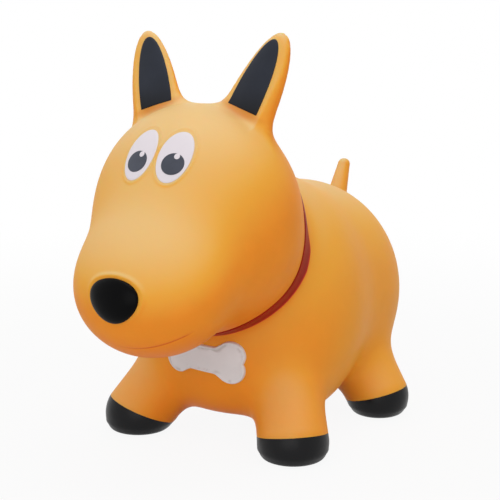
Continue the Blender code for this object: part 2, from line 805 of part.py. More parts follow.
def build_eyes():
    """Each eye: a white oval, a dark iris on it and a small glint on the iris."""
    white = colour_material("eye_white", (0.80, 0.74, 0.77), 0.30)
    dark = colour_material("eye_dark", (0.075, 0.095, 0.115), 0.28)
    light = colour_material("eye_glint", (0.90, 0.88, 0.90), 0.25)
    pair = (("left", EYE_SIDE_LEFT, -EYE_LEAN_LEFT), ("right", -EYE_SIDE_RIGHT, -EYE_LEAN_RIGHT))
    for hand, aside, lean in pair:
        leaning = trim_frame((aside, -FAR, EYE_Z), (0, 1, 0), lean)
        upright = trim_frame((aside, -FAR, EYE_Z), (0, 1, 0))
        under = SKIN_CLEARANCE
        shape = oval(EYE_HALF_WIDTH, EYE_HALF_HEIGHT, EYE_POINTS)
        top = slab_over(under, EYE_THICKNESS, TRIM_EDGE)
        inlay(f"eye_white_{hand}", white, leaning, shape, under, top, SLAB_RING_SHARES)
        under += EYE_THICKNESS + GAP
        shape = oval(PUPIL_RADIUS, PUPIL_RADIUS, PUPIL_POINTS, (0, -PUPIL_DROP))
        top = slab_over(under, PUPIL_THICKNESS, TRIM_EDGE)
        inlay(f"pupil_{hand}", dark, upright, shape, under, top, SLAB_RING_SHARES)
        under += PUPIL_THICKNESS + GAP
        shift = (GLINT_ASIDE, GLINT_RISE - PUPIL_DROP)
        shape = oval(GLINT_RADIUS, GLINT_RADIUS, GLINT_POINTS, shift)
        top = dome_over(under, GLINT_THICKNESS, TRIM_EDGE / 2)
        inlay(f"eye_glint_{hand}", light, upright, shape, under, top, SLAB_RING_SHARES)


def build_nose():
    """The nose: a domed triangle with round corners, wider above than below."""
    black = colour_material("nose_black", (0.004, 0.004, 0.005), 0.22)
    outline = []
    for angle in np.linspace(0, math.tau, NOSE_POINTS, endpoint=False):
        wide, tall = math.cos(angle), math.sin(angle)
        taper = 1 + NOSE_TAPER_SHARE * tall
        outline.append((NOSE_HALF_WIDTH * wide * taper, NOSE_HALF_HEIGHT * tall))
    frame = trim_frame((NOSE_ASIDE, -FAR, NOSE_Z), (0, 1, 0))
    top = dome_over(SKIN_CLEARANCE, NOSE_HEIGHT, NOSE_EDGE)
    inlay("nose", black, frame, outline, SKIN_CLEARANCE, top, DOME_RING_SHARES)


def build_bone(skin):
    """The bone on the chest: two knobs at each end of a shaft, as one low relief."""
    pale = colour_material("bone_grey", (0.50, 0.47, 0.45), 0.38)
    knob_x = BONE_HALF_LENGTH - BONE_KNOB_RADIUS
    outline = []
    for angle in np.linspace(0, math.tau, BONE_POINTS, endpoint=False):
        ray = np.array((math.cos(angle), math.sin(angle)))
        reach = min(BONE_SHAFT_HALF_WIDTH / max(abs(ray[1]), PROBE_STEP), knob_x)
        for knob in ((knob_x, BONE_KNOB_SPREAD), (-knob_x, BONE_KNOB_SPREAD)):
            for centre in (np.array(knob), np.array((knob[0], -knob[1]))):
                along = ray @ centre
                beyond = BONE_KNOB_RADIUS**2 - (centre @ centre - along**2)
                if beyond > 0 and along > 0:
                    reach = max(reach, along + math.sqrt(beyond))
        outline.append(reach * ray)
    frame = trim_frame((0, -FAR, BONE_Z), (0, 1, 0), BONE_TURN)
    top = slab_over(SKIN_CLEARANCE, BONE_THICKNESS, BONE_EDGE)
    seated(inlay("bone_tag", pale, frame, outline, -WALL / 2, top, SLAB_RING_SHARES), skin)


def build_ear_linings(skin):
    """Dark leaves in the ears' dishes, with a straight root edge and a pointed tip."""
    grey = colour_material("lining_grey", (0.035, 0.042, 0.050), 0.40)
    across, front, upward = EAR_AXES
    length = LINING_TIP - LINING_BASE
    outline = []
    for share in np.linspace(-1, 1, LINING_SIDE_POINTS):
        height = 1 - abs(share)
        width = math.copysign(math.sqrt(1 - height**LINING_TIP_POWER), share)
        outline.append((LINING_HALF_WIDTH * width - LINING_INWARD_SHIFT, LINING_BASE + length * height))
    for share in np.linspace(1, -1, LINING_ROOT_POINTS)[1:-1]:
        outline.append((LINING_HALF_WIDTH * share - LINING_INWARD_SHIFT, LINING_BASE))
    outline = np.array(outline)
    for side, hand in ((1, "left"), (-1, "right")):
        flip = np.array((side, 1, 1))
        frame = (EAR_ROOT * flip, across * flip, upward * flip, front * flip)
        top = slab_over(SKIN_CLEARANCE, LINING_THICKNESS, TRIM_EDGE)
        name = f"ear_lining_{hand}"
        seated(inlay(name, grey, frame, outline, -WALL / 2, top, SLAB_RING_SHARES), skin)


def crease_points(angles, offset, level):
    """Points round the neck at a level over the skin and an offset from the crease.

    The offset is how much nearer the point is to the torso's form than to the head's. It is
    less by the throat shift at the lowest point, so that the band lies flat under the chin.
    """
    offset = offset + COLLAR_THROAT_SHIFT * np.minimum(np.sin(angles), 0)
    tilt = math.radians(COLLAR_TILT)
    headward = np.array((0, -math.sin(tilt), math.cos(tilt)))
    inplane = np.array((0, math.cos(tilt), math.sin(tilt)))
    centre = np.array((0, (NECK_Y + SKULL_Y) / 2, NECK_Z))
    rays = np.outer(np.cos(angles), (1, 0, 0)) + np.outer(np.sin(angles), inplane)
    points = centre + rays * NECK_RADIUS
    for _ in range(CREASE_ROUNDS):
        height = form_field(points) - level
        drift = head_field(points) - body_field(points) - offset
        up = gradient(form_field, points)
        over = gradient(head_field, points) - gradient(body_field, points)
        up_ray, up_head = (up * rays).sum(axis=1), up @ headward
        over_ray, over_head = (over * rays).sum(axis=1), over @ headward
        scale = up_ray * over_head - up_head * over_ray
        scale = np.where(np.abs(scale) < LEAST_CROSSING, np.copysign(LEAST_CROSSING, scale), scale)
        move_ray = (height * over_head - drift * up_head) / scale
        move_head = (drift * up_ray - height * over_ray) / scale
        move_ray, move_head = (np.clip(m, -MAX_STEP, MAX_STEP) for m in (move_ray, move_head))
        points = points - rays * move_ray[:, None] - np.outer(move_head, headward)
    return points


def build_collar(skin):
    """The collar: a low band round the neck, seated in the crease between head and torso."""
    red = colour_material("collar_red", (0.20, 0.024, 0.020), 0.38)
    angles = np.linspace(0, math.tau, COLLAR_POINTS, endpoint=False)
    first, last = -COLLAR_HEADWARD_REACH, COLLAR_BODYWARD_REACH
    section = []
    for share in np.linspace(0, 1, COLLAR_LEVELS):
        swell = math.sqrt(abs(math.sin(math.pi * share)))
        height = COLLAR_EDGE + (COLLAR_THICKNESS - COLLAR_EDGE) * swell
        section.append((first + (last - first) * share, height))
    loops = [crease_points(angles, offset, height + SKIN_CLEARANCE) for offset, height in section]
    for offset in (last, (first + last) / 2, first):
        loops.append(crease_points(angles, offset, -WALL / 2))
    built = bmesh.new()
    rows = [[built.verts.new(place) for place in loop] for loop in loops]
    for row, after_row in zip(rows, rows[1:] + rows[:1]):
        for step in range(len(angles)):
            after = (step + 1) % len(angles)
            built.faces.new((row[step], row[after], after_row[after], after_row[step]))
    seated(linked("collar_band", mesh_from_bmesh("collar_band", built), red), skin)


def seated(item, skin):
    """Cuts away what a piece has under the skin, so that it bears on it all over."""
    seat = linked("seat", skin.copy())
    cut(item, seat)
    discard(seat)
    return smoothed(item, 50.0)


def swollen(outside, clearance):
    """The outer skin grown by a clearance, to cut what is seated on it."""
    mesh = outside.copy()
    points = points_of(mesh)
    normals = np.empty(len(mesh.vertices) * 3)
    mesh.vertices.foreach_get("normal", normals)
    mesh.vertices.foreach_set("co", (points + clearance * normals.reshape(-1, 3)).ravel())
    mesh.update()
    return mesh


def main():
    for item in list(bpy.data.objects):
        bpy.data.objects.remove(item, do_unlink=True)
    valve = valve_sizes()
    outside = surface_mesh("outside", skin_field, 0, OUTER_VOXEL, OUTER_FACES)
    skin = skin_solid(outside)
    build_feet(skin)
    build_body_shell(skin, valve)
    grown = swollen(outside, SKIN_CLEARANCE)
    build_collar(grown)
    build_bone(grown)
    build_nose()
    build_eyes()
    build_ear_linings(grown)
    build_valve(valve)


main()
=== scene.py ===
"""Looks of a bouncy ride-on dog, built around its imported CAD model.

The dog is one blown-up form: balls and tapered limbs that run into each other. The skin, the feet and all
trim are fine meshes settled onto that form, which is the one that the CAD solids follow. All lengths are
metres, in the frame of the CAD model: the dog faces -Y, its left side is +X and its soles lie on z = 0.
"""
import math

import bmesh
import bpy
import numpy as np
from bpy.props import FloatProperty, FloatVectorProperty, IntProperty, PointerProperty
from mathutils import Matrix, Vector


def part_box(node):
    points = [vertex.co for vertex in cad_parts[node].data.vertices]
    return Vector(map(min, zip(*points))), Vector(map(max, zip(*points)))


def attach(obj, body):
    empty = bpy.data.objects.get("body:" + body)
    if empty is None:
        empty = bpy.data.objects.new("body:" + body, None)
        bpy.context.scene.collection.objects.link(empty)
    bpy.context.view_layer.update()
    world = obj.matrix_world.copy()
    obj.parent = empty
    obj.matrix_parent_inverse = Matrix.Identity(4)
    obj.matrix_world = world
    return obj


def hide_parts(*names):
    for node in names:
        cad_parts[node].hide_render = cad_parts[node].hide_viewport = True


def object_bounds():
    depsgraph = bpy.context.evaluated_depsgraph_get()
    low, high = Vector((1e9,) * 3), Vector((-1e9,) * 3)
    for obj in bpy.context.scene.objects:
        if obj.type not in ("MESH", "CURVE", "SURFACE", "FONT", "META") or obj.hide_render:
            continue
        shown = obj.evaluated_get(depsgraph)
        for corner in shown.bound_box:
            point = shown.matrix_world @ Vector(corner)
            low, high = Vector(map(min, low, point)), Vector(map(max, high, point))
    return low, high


bl_info = {
    "name": "Bouncy Ride-on Dog",
    "version": (1, 0, 0),
    "blender": (4, 5, 0),
    "location": "3D View > Sidebar > Bouncy Dog",
    "description": "Dresses the packed model of a blow-up hopping dog",
    "category": "Object",
}

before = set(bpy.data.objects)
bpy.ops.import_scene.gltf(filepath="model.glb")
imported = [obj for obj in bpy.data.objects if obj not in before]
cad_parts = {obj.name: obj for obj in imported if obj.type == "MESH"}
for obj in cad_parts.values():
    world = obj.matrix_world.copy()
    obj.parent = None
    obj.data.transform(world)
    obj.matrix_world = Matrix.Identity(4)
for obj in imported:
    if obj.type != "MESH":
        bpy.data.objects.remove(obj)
CAD_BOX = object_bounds()
BODY = "hopper"

# The blown-up form. Balls: centre, half axes and pitch in degrees
CHEST = ((0, 0.0134, 0.1555), (0.145, 0.119, 0.175), -9.3)
RUMP = ((0, 0.1569, 0.1555), (0.135, 0.1195, 0.144), 0)
NECK = ((0, -0.0781, 0.2660), (0.111, 0.111, 0.111), 0)
SKULL = ((0, -0.1166, 0.2900), (0.132, 0.1025, 0.136), 0)
MUZZLE = ((0, -0.2191, 0.2230), (0.094, 0.0605, 0.076), -19.0)

# The left jowl, which swells over the collar: its middle, reach and height
JOWL = (0.103, -0.066, 0.212)
JOWL_REACH = 0.045
JOWL_SWELL = 0.0052

# Limbs of the left side and the middle: start, end, radius at each. The feet's colour lines:
# height at the foot's middle, and climb outward and forward
FRONT_LEG = ((0.0630, -0.0151, 0.1250), (0.1125, -0.0821, 0.0205), 0.0380, 0.0440)
REAR_LEG = ((0.0475, 0.1584, 0.1390), (0.1290, 0.1284, 0.0240), 0.0395, 0.0410)
TAIL = ((0, 0.2529, 0.2560), (0, 0.2810, 0.3106), 0.0157, 0.0088)
COLOUR_LINES = {
    "front_left": (0.0287, 0.170, 0.174),
    "front_right": (0.0278, 0.322, 0.313),
    "rear_left": (0.0287, 0.297, -0.022),
    "rear_right": (0.0287, 0.297, -0.022),
}
LEGS = {"front": FRONT_LEG, "rear": REAR_LEG}
SIDES = {"left": 1, "right": -1}
FOOT_BLOCK_SHARE = 1.16

# How far each pair of neighbours runs into each other
TORSO_BLEND = 0.122
BELLY_CLEARANCE = 0.030
BELLY_BLEND = 0.050
LEG_BLEND = 0.0425
TAIL_BLEND = 0.012
NECK_BLEND = 0.030
MUZZLE_BLEND = 0.107
EAR_BLEND = 0.039
EAR_FRONT_BLEND = 0.015
CREASE_BLEND = 0.0246
SOLE_BLEND = 0.012

# Ears: leaves with a dish in front, which is deepest at the root
EAR_ROOT = np.array((0.058, -0.1091, 0.4025))
EAR_HALF_AXES = (0.0335, 0.015, 0.1155)
EAR_SPLAY = 19.7
EAR_LEAN = 16.4
EAR_YAW = -3.7
EAR_DISH_DEPTH = 0.0033
EAR_ROOT_DEPTH = 0.0028
EAR_ROOT_POWER = 1.5
EAR_DISH_MARGIN = 0.0050
EAR_DISH_FRONT = EAR_HALF_AXES[1] / 3
EAR_CREASE_FRONT = EAR_HALF_AXES[1] * 0.8
LINING_BASE = 0.0165
LINING_TIP = 0.1050
LINING_HALF_WIDTH = 0.0212
LINING_INWARD_SHIFT = 0.0045
LINING_TIP_POWER = 2.2
LINING_ROUND_SHARE = 0.07

# The lining's root is darkened with painted shade to a share of its colour, which comes back between these
# heights over it
LINING_SHADE_HEIGHTS = (-0.005, 0.030)
LINING_SHADE = 0.25

# Places in an ear's own axes: the crease before its root, and the fold under its lining, which gets painted
# shade
EAR_CREASE = (0, 0.012, 0.006)
LINING_FOLD = (-0.0045, 0.010, 0.0135)
LINING_FOLD_SLOPE = 0.36
LINING_FOLD_REACHES = (0.024, 0.022, 0.0060)

# Face: where each piece lies when looked at from the front
NOSE_PLACE = (-0.0066, 0.2212)
EYES = {"left": (0.0210, 0.3733, -11.3), "right": (-0.0255, 0.3733, -0.4)}
MOUTH_LOW = 0.166
MOUTH_CURVE = 4.0
MOUTH_HALF_WIDTH = 0.077

# The mouth line fades towards the right side: from and to X, and what is left of its depth and paint
MOUTH_FADE = (-0.02, 0.04)
MOUTH_LEAST_DEPTH = 0.15
MOUTH_LEAST_PAINT = 0.12

# The mouth line's paint: its share of the line's width, how far before the muzzle's middle it is full,
# past which share of the squared half width it fades, and its strength
MOUTH_PAINT_WIDTH = 0.8
MOUTH_PAINT_REACH = 0.01
MOUTH_PAINT_FADE = 0.75
MOUTH_PAINT_STRENGTH = 0.8

# The nose's height at its rim. The eyes' layers: how deep each starts under the form, or less than zero
# over it, then its top's height and the share that is rounded off, or the glint's height at its rim
NOSE_EDGE_HEIGHT = 0.0012
WHITE_DEPTH = 0.0006
WHITE_TOP = (0.0008, 0.05)
IRIS_DEPTH = -0.0005
IRIS_TOP = (0.0013, 0.06)
GLINT_DEPTH = -0.0010
GLINT_TOP = (0.0018, 0.0014)

# The bone: where its rim has sunk to the level middle, and where the painted shade inside the rim lies and
# how wide it is, all in rim widths; then the painted shade's strength and the patches that it comes in
BONE_LEVEL_START = 2.6
BONE_SHADE_PLACE = 2.4
BONE_SHADE_WIDTH = 1.1
BONE_SHADE_STRENGTH = 0.6
BONE_PATCH_SIZE = 0.020
BONE_PATCH_LEVELS = (0.45, 0.65)

# Fine forms of the skin: where their crests lie off an outline, and how wide they are
LIP_OFFSET = 0.0045
LIP_WIDTH = 0.0030
LIP_SHARES = (0.55, 0.45)
EYE_RIM_OFFSET = 0.0025
EYE_RIM_OPENING = 0.0010
EYE_RIM_WIDTH = 0.0012
TREAD_DRAW_HEIGHT = 0.0030
TREAD_BEAD_RISE = 0.0010
TREAD_BEAD_WIDTH = 0.0014
TREAD_BEAD_SHARE = 0.4

# Where the skin's mesh is made finer: reaches in metres, and as shares of the nose and the eyes
MOUTH_FINE_REACHES = (0.006, 0.003)
NOSE_FINE_SHARE = 0.35
EYE_RIM_SHARE = 1.1
EYE_FINE_SHARE = 0.18
EAR_FINE_REACH = 0.028
OUT_OF_REACH = 9

# The orange: where its lit crowns face, and the slopes and places between which each tint comes in. On
# slopes facing this way amber and pale are painted light; the redder tints below and in the fold under each
# lining are painted shade
LIT_CROWN_DIRECTION = (0, -0.40, 0.91)
LIT_AMBER_SLOPES = (0.15, 0.65)
HIGHLIGHT_SLOPES = (0.48, 1.0)
SHADE_SLOPES = (0.3, 1.05)
LEG_TINT_HEIGHTS = (0.05, 0.18)
LEG_TINT_SHARE = 0.4
TORSO_TINT_DEPTHS = (-0.09, 0.01)
TORSO_TINT_SHARE = 0.45
FOLD_TINT_SHARES = (0.4, 1.6)
FOLD_TINT_STRENGTH = 0.6
FOLD_SHADE = 0.72
MOUTH_RED = (0.70, 0.075, 0.006)

# The noise in the soft plastic: sizes of its lumps, the levels between which the clouds come in, how
# much the specks show in its colour and sheen, and the heights of its grain
CLOUD_SIZE = 0.045
SWELL_SIZE = 0.016
SPECK_SIZE = 0.0035
PORE_SIZE = 0.0011
CLOUD_LEVELS = (0.3, 0.7)
SPECK_SHARE = 0.25
SPECK_SHEEN = 0.08
GRAIN_HEIGHT = 0.00006
SWELL_HEIGHT = GRAIN_HEIGHT * 6

# Camera: the photograph's place and angle
CAMERA_AZIMUTH = 30.0
CAMERA_ELEVATION = 11.1
CAMERA_DISTANCE = 1.9
CAMERA_TARGET = Vector((-0.1239, 0.2233, 0.1812))
FOCAL_PIXELS = 1285.0
IMAGE_PIXELS = 500
SENSOR_WIDTH = 36.0

# Stage: the lamps' places off the dog's middle, and where the floor turns fully white
LAMP_SIZE = 1.6
KEY_PLACE = Vector((0.6, -1.8, 0.2))
OVERHEAD_PLACE = Vector((0.1, -0.1, 2.0))
FLOOR_HALF_SIZE = 30
FLOOR_WHITE_REACHES = (0.35, 1.6)
FLOOR_NEAR_SHARE = 0.92

# Searches on the form: where they start, their steps, and how often they are repeated
FAR = 0.6
DROP_START = 0.02
DROP_ROUNDS = 60
DROP_SHARE = 0.7
PROBE_STEP = 0.0002
MAX_STEP = 0.008
LEAST_SLOPE = 0.1
TINY = 1e-9
EVENING_ROUNDS = 4
CREASE_ROUNDS = 25
LEAST_CROSSING = 0.05
SHARE_ROUNDS = 3
LEAST_SHARE = 1e-3
OUTLINE_REACH_SHARE = 1.1
OUTLINE_TRIES = 400

# How far a piece's rim is sunk under the form
RIM_DEPTH = 0.0008

# The collar's band: the neck's lean in degrees, where the band turns over the nape, the roundness of its
# section and its points; and the bead's rise over the form, as a share of its radius, and its points
NECK_LEAN = 50
NAPE_RISES = (0.20, 0.60)
BAND_DEPTH = 0.001
BAND_EDGE_SHARE = 0.06
BAND_CROWN_POWER = 0.35
BAND_STEPS = 240
BAND_TOP_ROWS = 15
BAND_BASE_ROWS = 5
BEAD_RISE_SHARE = 0.7
BEAD_STEPS = 12

# The block that opens the skin for the valve: its share of the seat's width, and its ends off the seat
POCKET_SHARE = 0.3
POCKET_ENDS = (-0.01, 0.03)


# Fields: each takes an array of points and gives about the distance to the surface, negative inside


def ball(points, shape):
    centre, half_axes, pitch = shape
    local = points - np.array(centre)
    if pitch:
        local = local @ np.array(Matrix.Rotation(math.radians(pitch), 3, "X"))
    near = np.linalg.norm(local / np.array(half_axes), axis=-1)
    steep = np.linalg.norm(local / np.array(half_axes) ** 2, axis=-1)
    return near * (near - 1) / np.maximum(steep, 1)


def limb(points, shape):
    """Distance to two balls and the cone that touches both."""
    start, end, start_radius, end_radius = shape
    axis = np.array(end) - np.array(start)
    length = np.linalg.norm(axis)
    axis = axis / length
    local = points - np.array(start)
    along = local @ axis
    aside = np.linalg.norm(local - along[..., None] * axis, axis=-1)
    lean = (start_radius - end_radius) / length
    share = np.clip((along + aside * lean / math.sqrt(1 - lean**2)) / length, 0, 1)
    radius = start_radius + share * (end_radius - start_radius)
    return np.hypot(along - share * length, aside) - radius


def union(first, second, reach):
    """Smooth union: the surfaces run into each other where they come within the reach."""
    share = np.maximum(reach - np.abs(first - second), 0) / reach
    return np.minimum(first, second) - share**3 * reach / 6


def trimmed(first, second, reach):
    return -union(-first, -second, reach)


def smooth_step(value, low, high):
    """0 below low, 1 above high, and a smooth step between."""
    share = np.clip((value - low) / (high - low), 0, 1)
    return share * share * (3 - 2 * share)


def folded(points):
    """The points with their X made positive, for what both sides share."""
    return np.stack((np.abs(points[..., 0]), points[..., 1], points[..., 2]), axis=-1)


def ear_axes():
    """Rows: across the ear towards its outer edge, out of its front, and from root to tip."""
    splay, lean, yaw = (math.radians(angle) for angle in (EAR_SPLAY, EAR_LEAN, EAR_YAW))
    upward = Vector((math.tan(splay), math.tan(lean), 1)).normalized()
    front = Vector((math.sin(yaw), -math.cos(yaw), 0))
    front = (front - upward * front.dot(upward)).normalized()
    return np.array((upward.cross(front), front, upward))


EAR_AXES = ear_axes()


def ear_places(points):
    """Places in an ear's own axes: across it, out of its front and up it."""
    return (folded(points) - EAR_ROOT) @ EAR_AXES.T


def ear_field(points):
    local = ear_places(points)
    leaf = ball(local, ((0, 0, 0), EAR_HALF_AXES, 0))
    half_width = LINING_HALF_WIDTH + EAR_DISH_MARGIN
    half_length = (LINING_TIP - LINING_BASE) / 2 + EAR_DISH_MARGIN
    above = np.maximum(local[..., 2] - (LINING_BASE + LINING_TIP) / 2, 0)
    spread = ((local[..., 0] + LINING_INWARD_SHIFT) / half_width) ** 2 + (above / half_length) ** 2
    in_front = np.clip(local[..., 1] / EAR_DISH_FRONT, 0, 1)
    rootward = np.clip(1 - local[..., 2] / LINING_TIP, 0, 1)
    depth = EAR_DISH_DEPTH + EAR_ROOT_DEPTH * rootward**EAR_ROOT_POWER
    return leaf + depth * in_front * np.clip(1 - spread**2, 0, 1)


def plain_head_field(points):
    """Skull and muzzle with the ears, whose fronts rise out of the crown from a sharper crease."""
    head = union(ball(points, SKULL), ball(points, MUZZLE), MUZZLE_BLEND)
    in_front = smooth_step(ear_places(points)[..., 1], 0, EAR_CREASE_FRONT)
    reach = EAR_BLEND + (EAR_FRONT_BLEND - EAR_BLEND) * in_front
    return union(head, ear_field(points), reach)


def head_field(points):
    """The plain head with a jowl that swells over the collar on each side."""
    off_jowl = np.linalg.norm(folded(points) - np.array(JOWL), axis=-1)
    return plain_head_field(points) - JOWL_SWELL * np.exp(-((off_jowl / JOWL_REACH) ** 2))


def body_field(points):
    beside = folded(points)
    torso = union(ball(points, CHEST), ball(points, RUMP), TORSO_BLEND)
    torso = trimmed(torso, BELLY_CLEARANCE - points[..., 2], BELLY_BLEND)
    legs = np.minimum(limb(beside, FRONT_LEG), limb(beside, REAR_LEG))
    field = union(torso, legs, LEG_BLEND)
    field = union(field, limb(points, TAIL), TAIL_BLEND)
    return union(field, ball(points, NECK), NECK_BLEND)


def form_field(points):
    return union(body_field(points), head_field(points), CREASE_BLEND)


def skin_field(points):
    """The form with its soles flat on the floor."""
    return trimmed(form_field(points), -points[..., 2], SOLE_BLEND)


def gradient(field, points):
    slopes = []
    for step in np.eye(3) * PROBE_STEP:
        slopes.append((field(points + step) - field(points - step)) / (2 * PROBE_STEP))
    return np.stack(slopes, axis=-1)


def outward(field, points):
    slope = gradient(field, points)
    return slope / np.maximum(np.linalg.norm(slope, axis=-1), TINY)[..., None]


def settled(field, points, rounds=6):
    """The points moved along the field's slope onto its surface."""
    for _ in range(rounds):
        slope = gradient(field, points)
        move = field(points) / np.maximum((slope**2).sum(axis=-1), LEAST_SLOPE)
        points = points - slope * np.clip(move, -MAX_STEP, MAX_STEP)[..., None]
    return points


def landed(starts, direction, level=0.0):
    """Where rays that start outside the form first reach the level."""
    points = np.array(starts, dtype=float)
    direction = np.array(direction, dtype=float)
    for _ in range(DROP_ROUNDS):
        points = points + direction * (form_field(points) - level)[..., None] * DROP_SHARE
    return points


def tangent_frame(place, lean=0.0):
    """Where a ray from the front meets the form, and the directions sideways, up and out there."""
    start = np.array([(place[0], -FAR, place[1])])
    seat = landed(start, (0, 1, 0))
    out = Vector(outward(form_field, seat)[0])
    sideways = Vector((0, 0, 1)).cross(out).normalized()
    if sideways.x < 0:
        sideways = -sideways
    upward = (Vector((0, 0, 1)) - out * out.z).normalized()
    turn = Matrix.Rotation(math.radians(lean), 3, out)
    return tuple(np.array(item) for item in (seat[0], turn @ sideways, turn @ upward, out))


def flat_places(points, spot):
    """Sideways and upward places of points in a tangent frame."""
    seat, sideways, upward, _ = spot
    return (points - seat) @ sideways, (points - seat) @ upward


# Mesh helpers


def linked(name, data):
    item = bpy.data.objects.new(name, data)
    bpy.context.scene.collection.objects.link(item)
    return item


def mesh_from(built, name):
    mesh = bpy.data.meshes.new(name)
    built.to_mesh(mesh)
    built.free()
    return mesh


def solid_from(built, name):
    """A mesh of a closed form, with its faces turned outward."""
    bmesh.ops.recalc_face_normals(built, faces=built.faces[:])
    return mesh_from(built, name)


def skin_rings(built, rings):
    """Faces from each ring of points to the next, where a ring may be a single point."""
    for ring, next_ring in zip(rings, rings[1:]):
        for step in range(max(len(ring), len(next_ring))):
            after = step + 1
            corners = [ring[step % len(ring)], ring[after % len(ring)]]
            corners += [next_ring[after % len(next_ring)], next_ring[step % len(next_ring)]]
            built.faces.new(list(dict.fromkeys(corners)))


def evaluated(item):
    """A mesh of the item with its modifiers applied, and the item gone."""
    bpy.context.view_layer.update()
    graph = bpy.context.evaluated_depsgraph_get()
    mesh = bpy.data.meshes.new_from_object(item.evaluated_get(graph))
    bpy.data.objects.remove(item, do_unlink=True)
    return mesh


def points_of(mesh):
    points = np.empty(len(mesh.vertices) * 3)
    mesh.vertices.foreach_get("co", points)
    return points.reshape(-1, 3)


def place_points(mesh, points):
    mesh.vertices.foreach_set("co", points.ravel())
    mesh.update()


def finished(name, mesh, finish, nodes, angle=35.0):
    """A shown piece: smooth where it bends gently, riding on the dog in place of CAD nodes."""
    mesh.name = name
    mesh.materials.clear()
    mesh.materials.append(finish.material)
    mesh.shade_smooth()
    mesh.set_sharp_from_angle(angle=math.radians(angle))
    piece = linked(name, mesh)
    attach(piece, BODY)
    if nodes:
        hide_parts(*nodes)


def boolean(mesh, cutter, operation):
    """One Boolean between two closed meshes."""
    item = linked("whole", mesh.copy())
    tool = linked("cutter", cutter)
    cut = item.modifiers.new("Cut", "BOOLEAN")
    cut.operation = operation
    cut.solver = "MANIFOLD"
    cut.object = tool
    result = evaluated(item)
    bpy.data.objects.remove(tool, do_unlink=True)
    return result


def add_ball(built, shape):
    centre, half_axes, pitch = shape
    place = Matrix.Translation(centre) @ Matrix.Rotation(math.radians(pitch), 4, "X")
    place = place @ Matrix.Diagonal((*half_axes, 1))
    bmesh.ops.create_icosphere(built, subdivisions=4, radius=1, matrix=place)


def add_limb(built, shape, side=1):
    """A tapered limb: the hull of the balls at its two ends."""
    start, end, start_radius, end_radius = shape
    balls = bmesh.new()
    for centre, radius in ((start, start_radius), (end, end_radius)):
        place = Matrix.Translation(centre) @ Matrix.Diagonal((radius, radius, radius, 1))
        bmesh.ops.create_icosphere(balls, subdivisions=3, radius=1, matrix=place)
    corners = [built.verts.new((side * corner.co.x, *corner.co.yz)) for corner in balls.verts]
    balls.free()
    hull = bmesh.ops.convex_hull(built, input=corners, use_existing_faces=False)
    covered = [item for item in hull["geom_interior"] if isinstance(item, bmesh.types.BMVert)]
    bmesh.ops.delete(built, geom=covered, context="VERTS")


def raw_form():
    """Every ball and limb of the dog, unblended."""
    built = bmesh.new()
    for shape in (CHEST, RUMP, NECK, SKULL, MUZZLE):
        add_ball(built, shape)
    add_limb(built, TAIL)
    turn = Matrix(EAR_AXES.tolist()).transposed().to_4x4()
    leaf = Matrix.Translation(EAR_ROOT) @ turn @ Matrix.Diagonal((*EAR_HALF_AXES, 1))
    for side in (1, -1):
        for leg in LEGS.values():
            add_limb(built, leg, side)
        mirror = Matrix.Diagonal((side, 1, 1, 1))
        bmesh.ops.create_icosphere(built, subdivisions=5, radius=1, matrix=mirror @ leaf)
    return solid_from(built, "raw_form")


def relaxed(mesh, points, field):
    """Evens out the points' spacing, keeping them on the field's surface."""
    ends = np.empty(len(mesh.edges) * 2, dtype=int)
    mesh.edges.foreach_get("vertices", ends)
    first, second = ends.reshape(-1, 2).T
    count = np.bincount(ends, minlength=len(points))[:, None]
    for _ in range(EVENING_ROUNDS):
        total = np.zeros_like(points)
        np.add.at(total, first, points[second])
        np.add.at(total, second, points[first])
        points = settled(field, (points + total / count) / 2, rounds=2)
    return points


def refined(mesh, near, reach):
    """Halves the faces that lie within the reach of a line on the skin."""
    built = bmesh.new()
    built.from_mesh(mesh)
    built.faces.ensure_lookup_table()
    centres = np.array([face.calc_center_median() for face in built.faces])
    chosen = np.nonzero(near(centres) < reach)[0]
    edges = {edge for index in chosen for edge in built.faces[index].edges}
    bmesh.ops.subdivide_edges(built, edges=list(edges), cuts=1, use_grid_fill=True)
    built.to_mesh(mesh)
    built.free()


# Outlines and reliefs laid on the form


def around(count):
    """Angles of evenly spaced points round a full turn."""
    return np.linspace(0, math.tau, count, endpoint=False)


def nose_outline(settings, count):
    """A rounded triangle, wide above and drawn to a blunt point below."""
    angles = around(count)
    wide, tall = np.cos(angles), np.sin(angles)
    taper = 1 + settings.taper * tall
    return np.stack((settings.half_width * wide * taper, settings.half_height * tall), axis=-1)


def nose_share(settings, across, up):
    """How far out a point lies, as a share of the nose's outline."""
    share = np.hypot(across / settings.half_width, up / settings.half_height)
    for _ in range(SHARE_ROUNDS):
        tall = np.clip(up / settings.half_height / np.maximum(share, LEAST_SHARE), -1, 1)
        width = across / (settings.half_width * (1 + settings.taper * tall))
        share = np.hypot(width, up / settings.half_height)
    return share


def oval(half_width, half_height, count, shift=(0, 0)):
    angles = around(count)
    across = shift[0] + half_width * np.cos(angles)
    return np.stack((across, shift[1] + half_height * np.sin(angles)), axis=-1)


def oval_share(settings, points, hand):
    """How far out points lie, as a share of an eye's white oval."""
    across, up = flat_places(points, tangent_frame(EYES[hand][:2], EYES[hand][2]))
    return np.hypot(across / settings.half_width, up / settings.half_height)


def bone_field(settings, across, up):
    """Flat distance to the bone's outline: four knobs on a shaft, run together."""
    knob_x = settings.half_length - settings.knob_radius
    field = np.abs(up) - settings.shaft_half_width
    field = np.maximum(field, np.abs(across) - knob_x)
    knob = np.hypot(np.abs(across) - knob_x, np.abs(up) - settings.knob_spread)
    return union(field, knob - settings.knob_radius, settings.fillet)


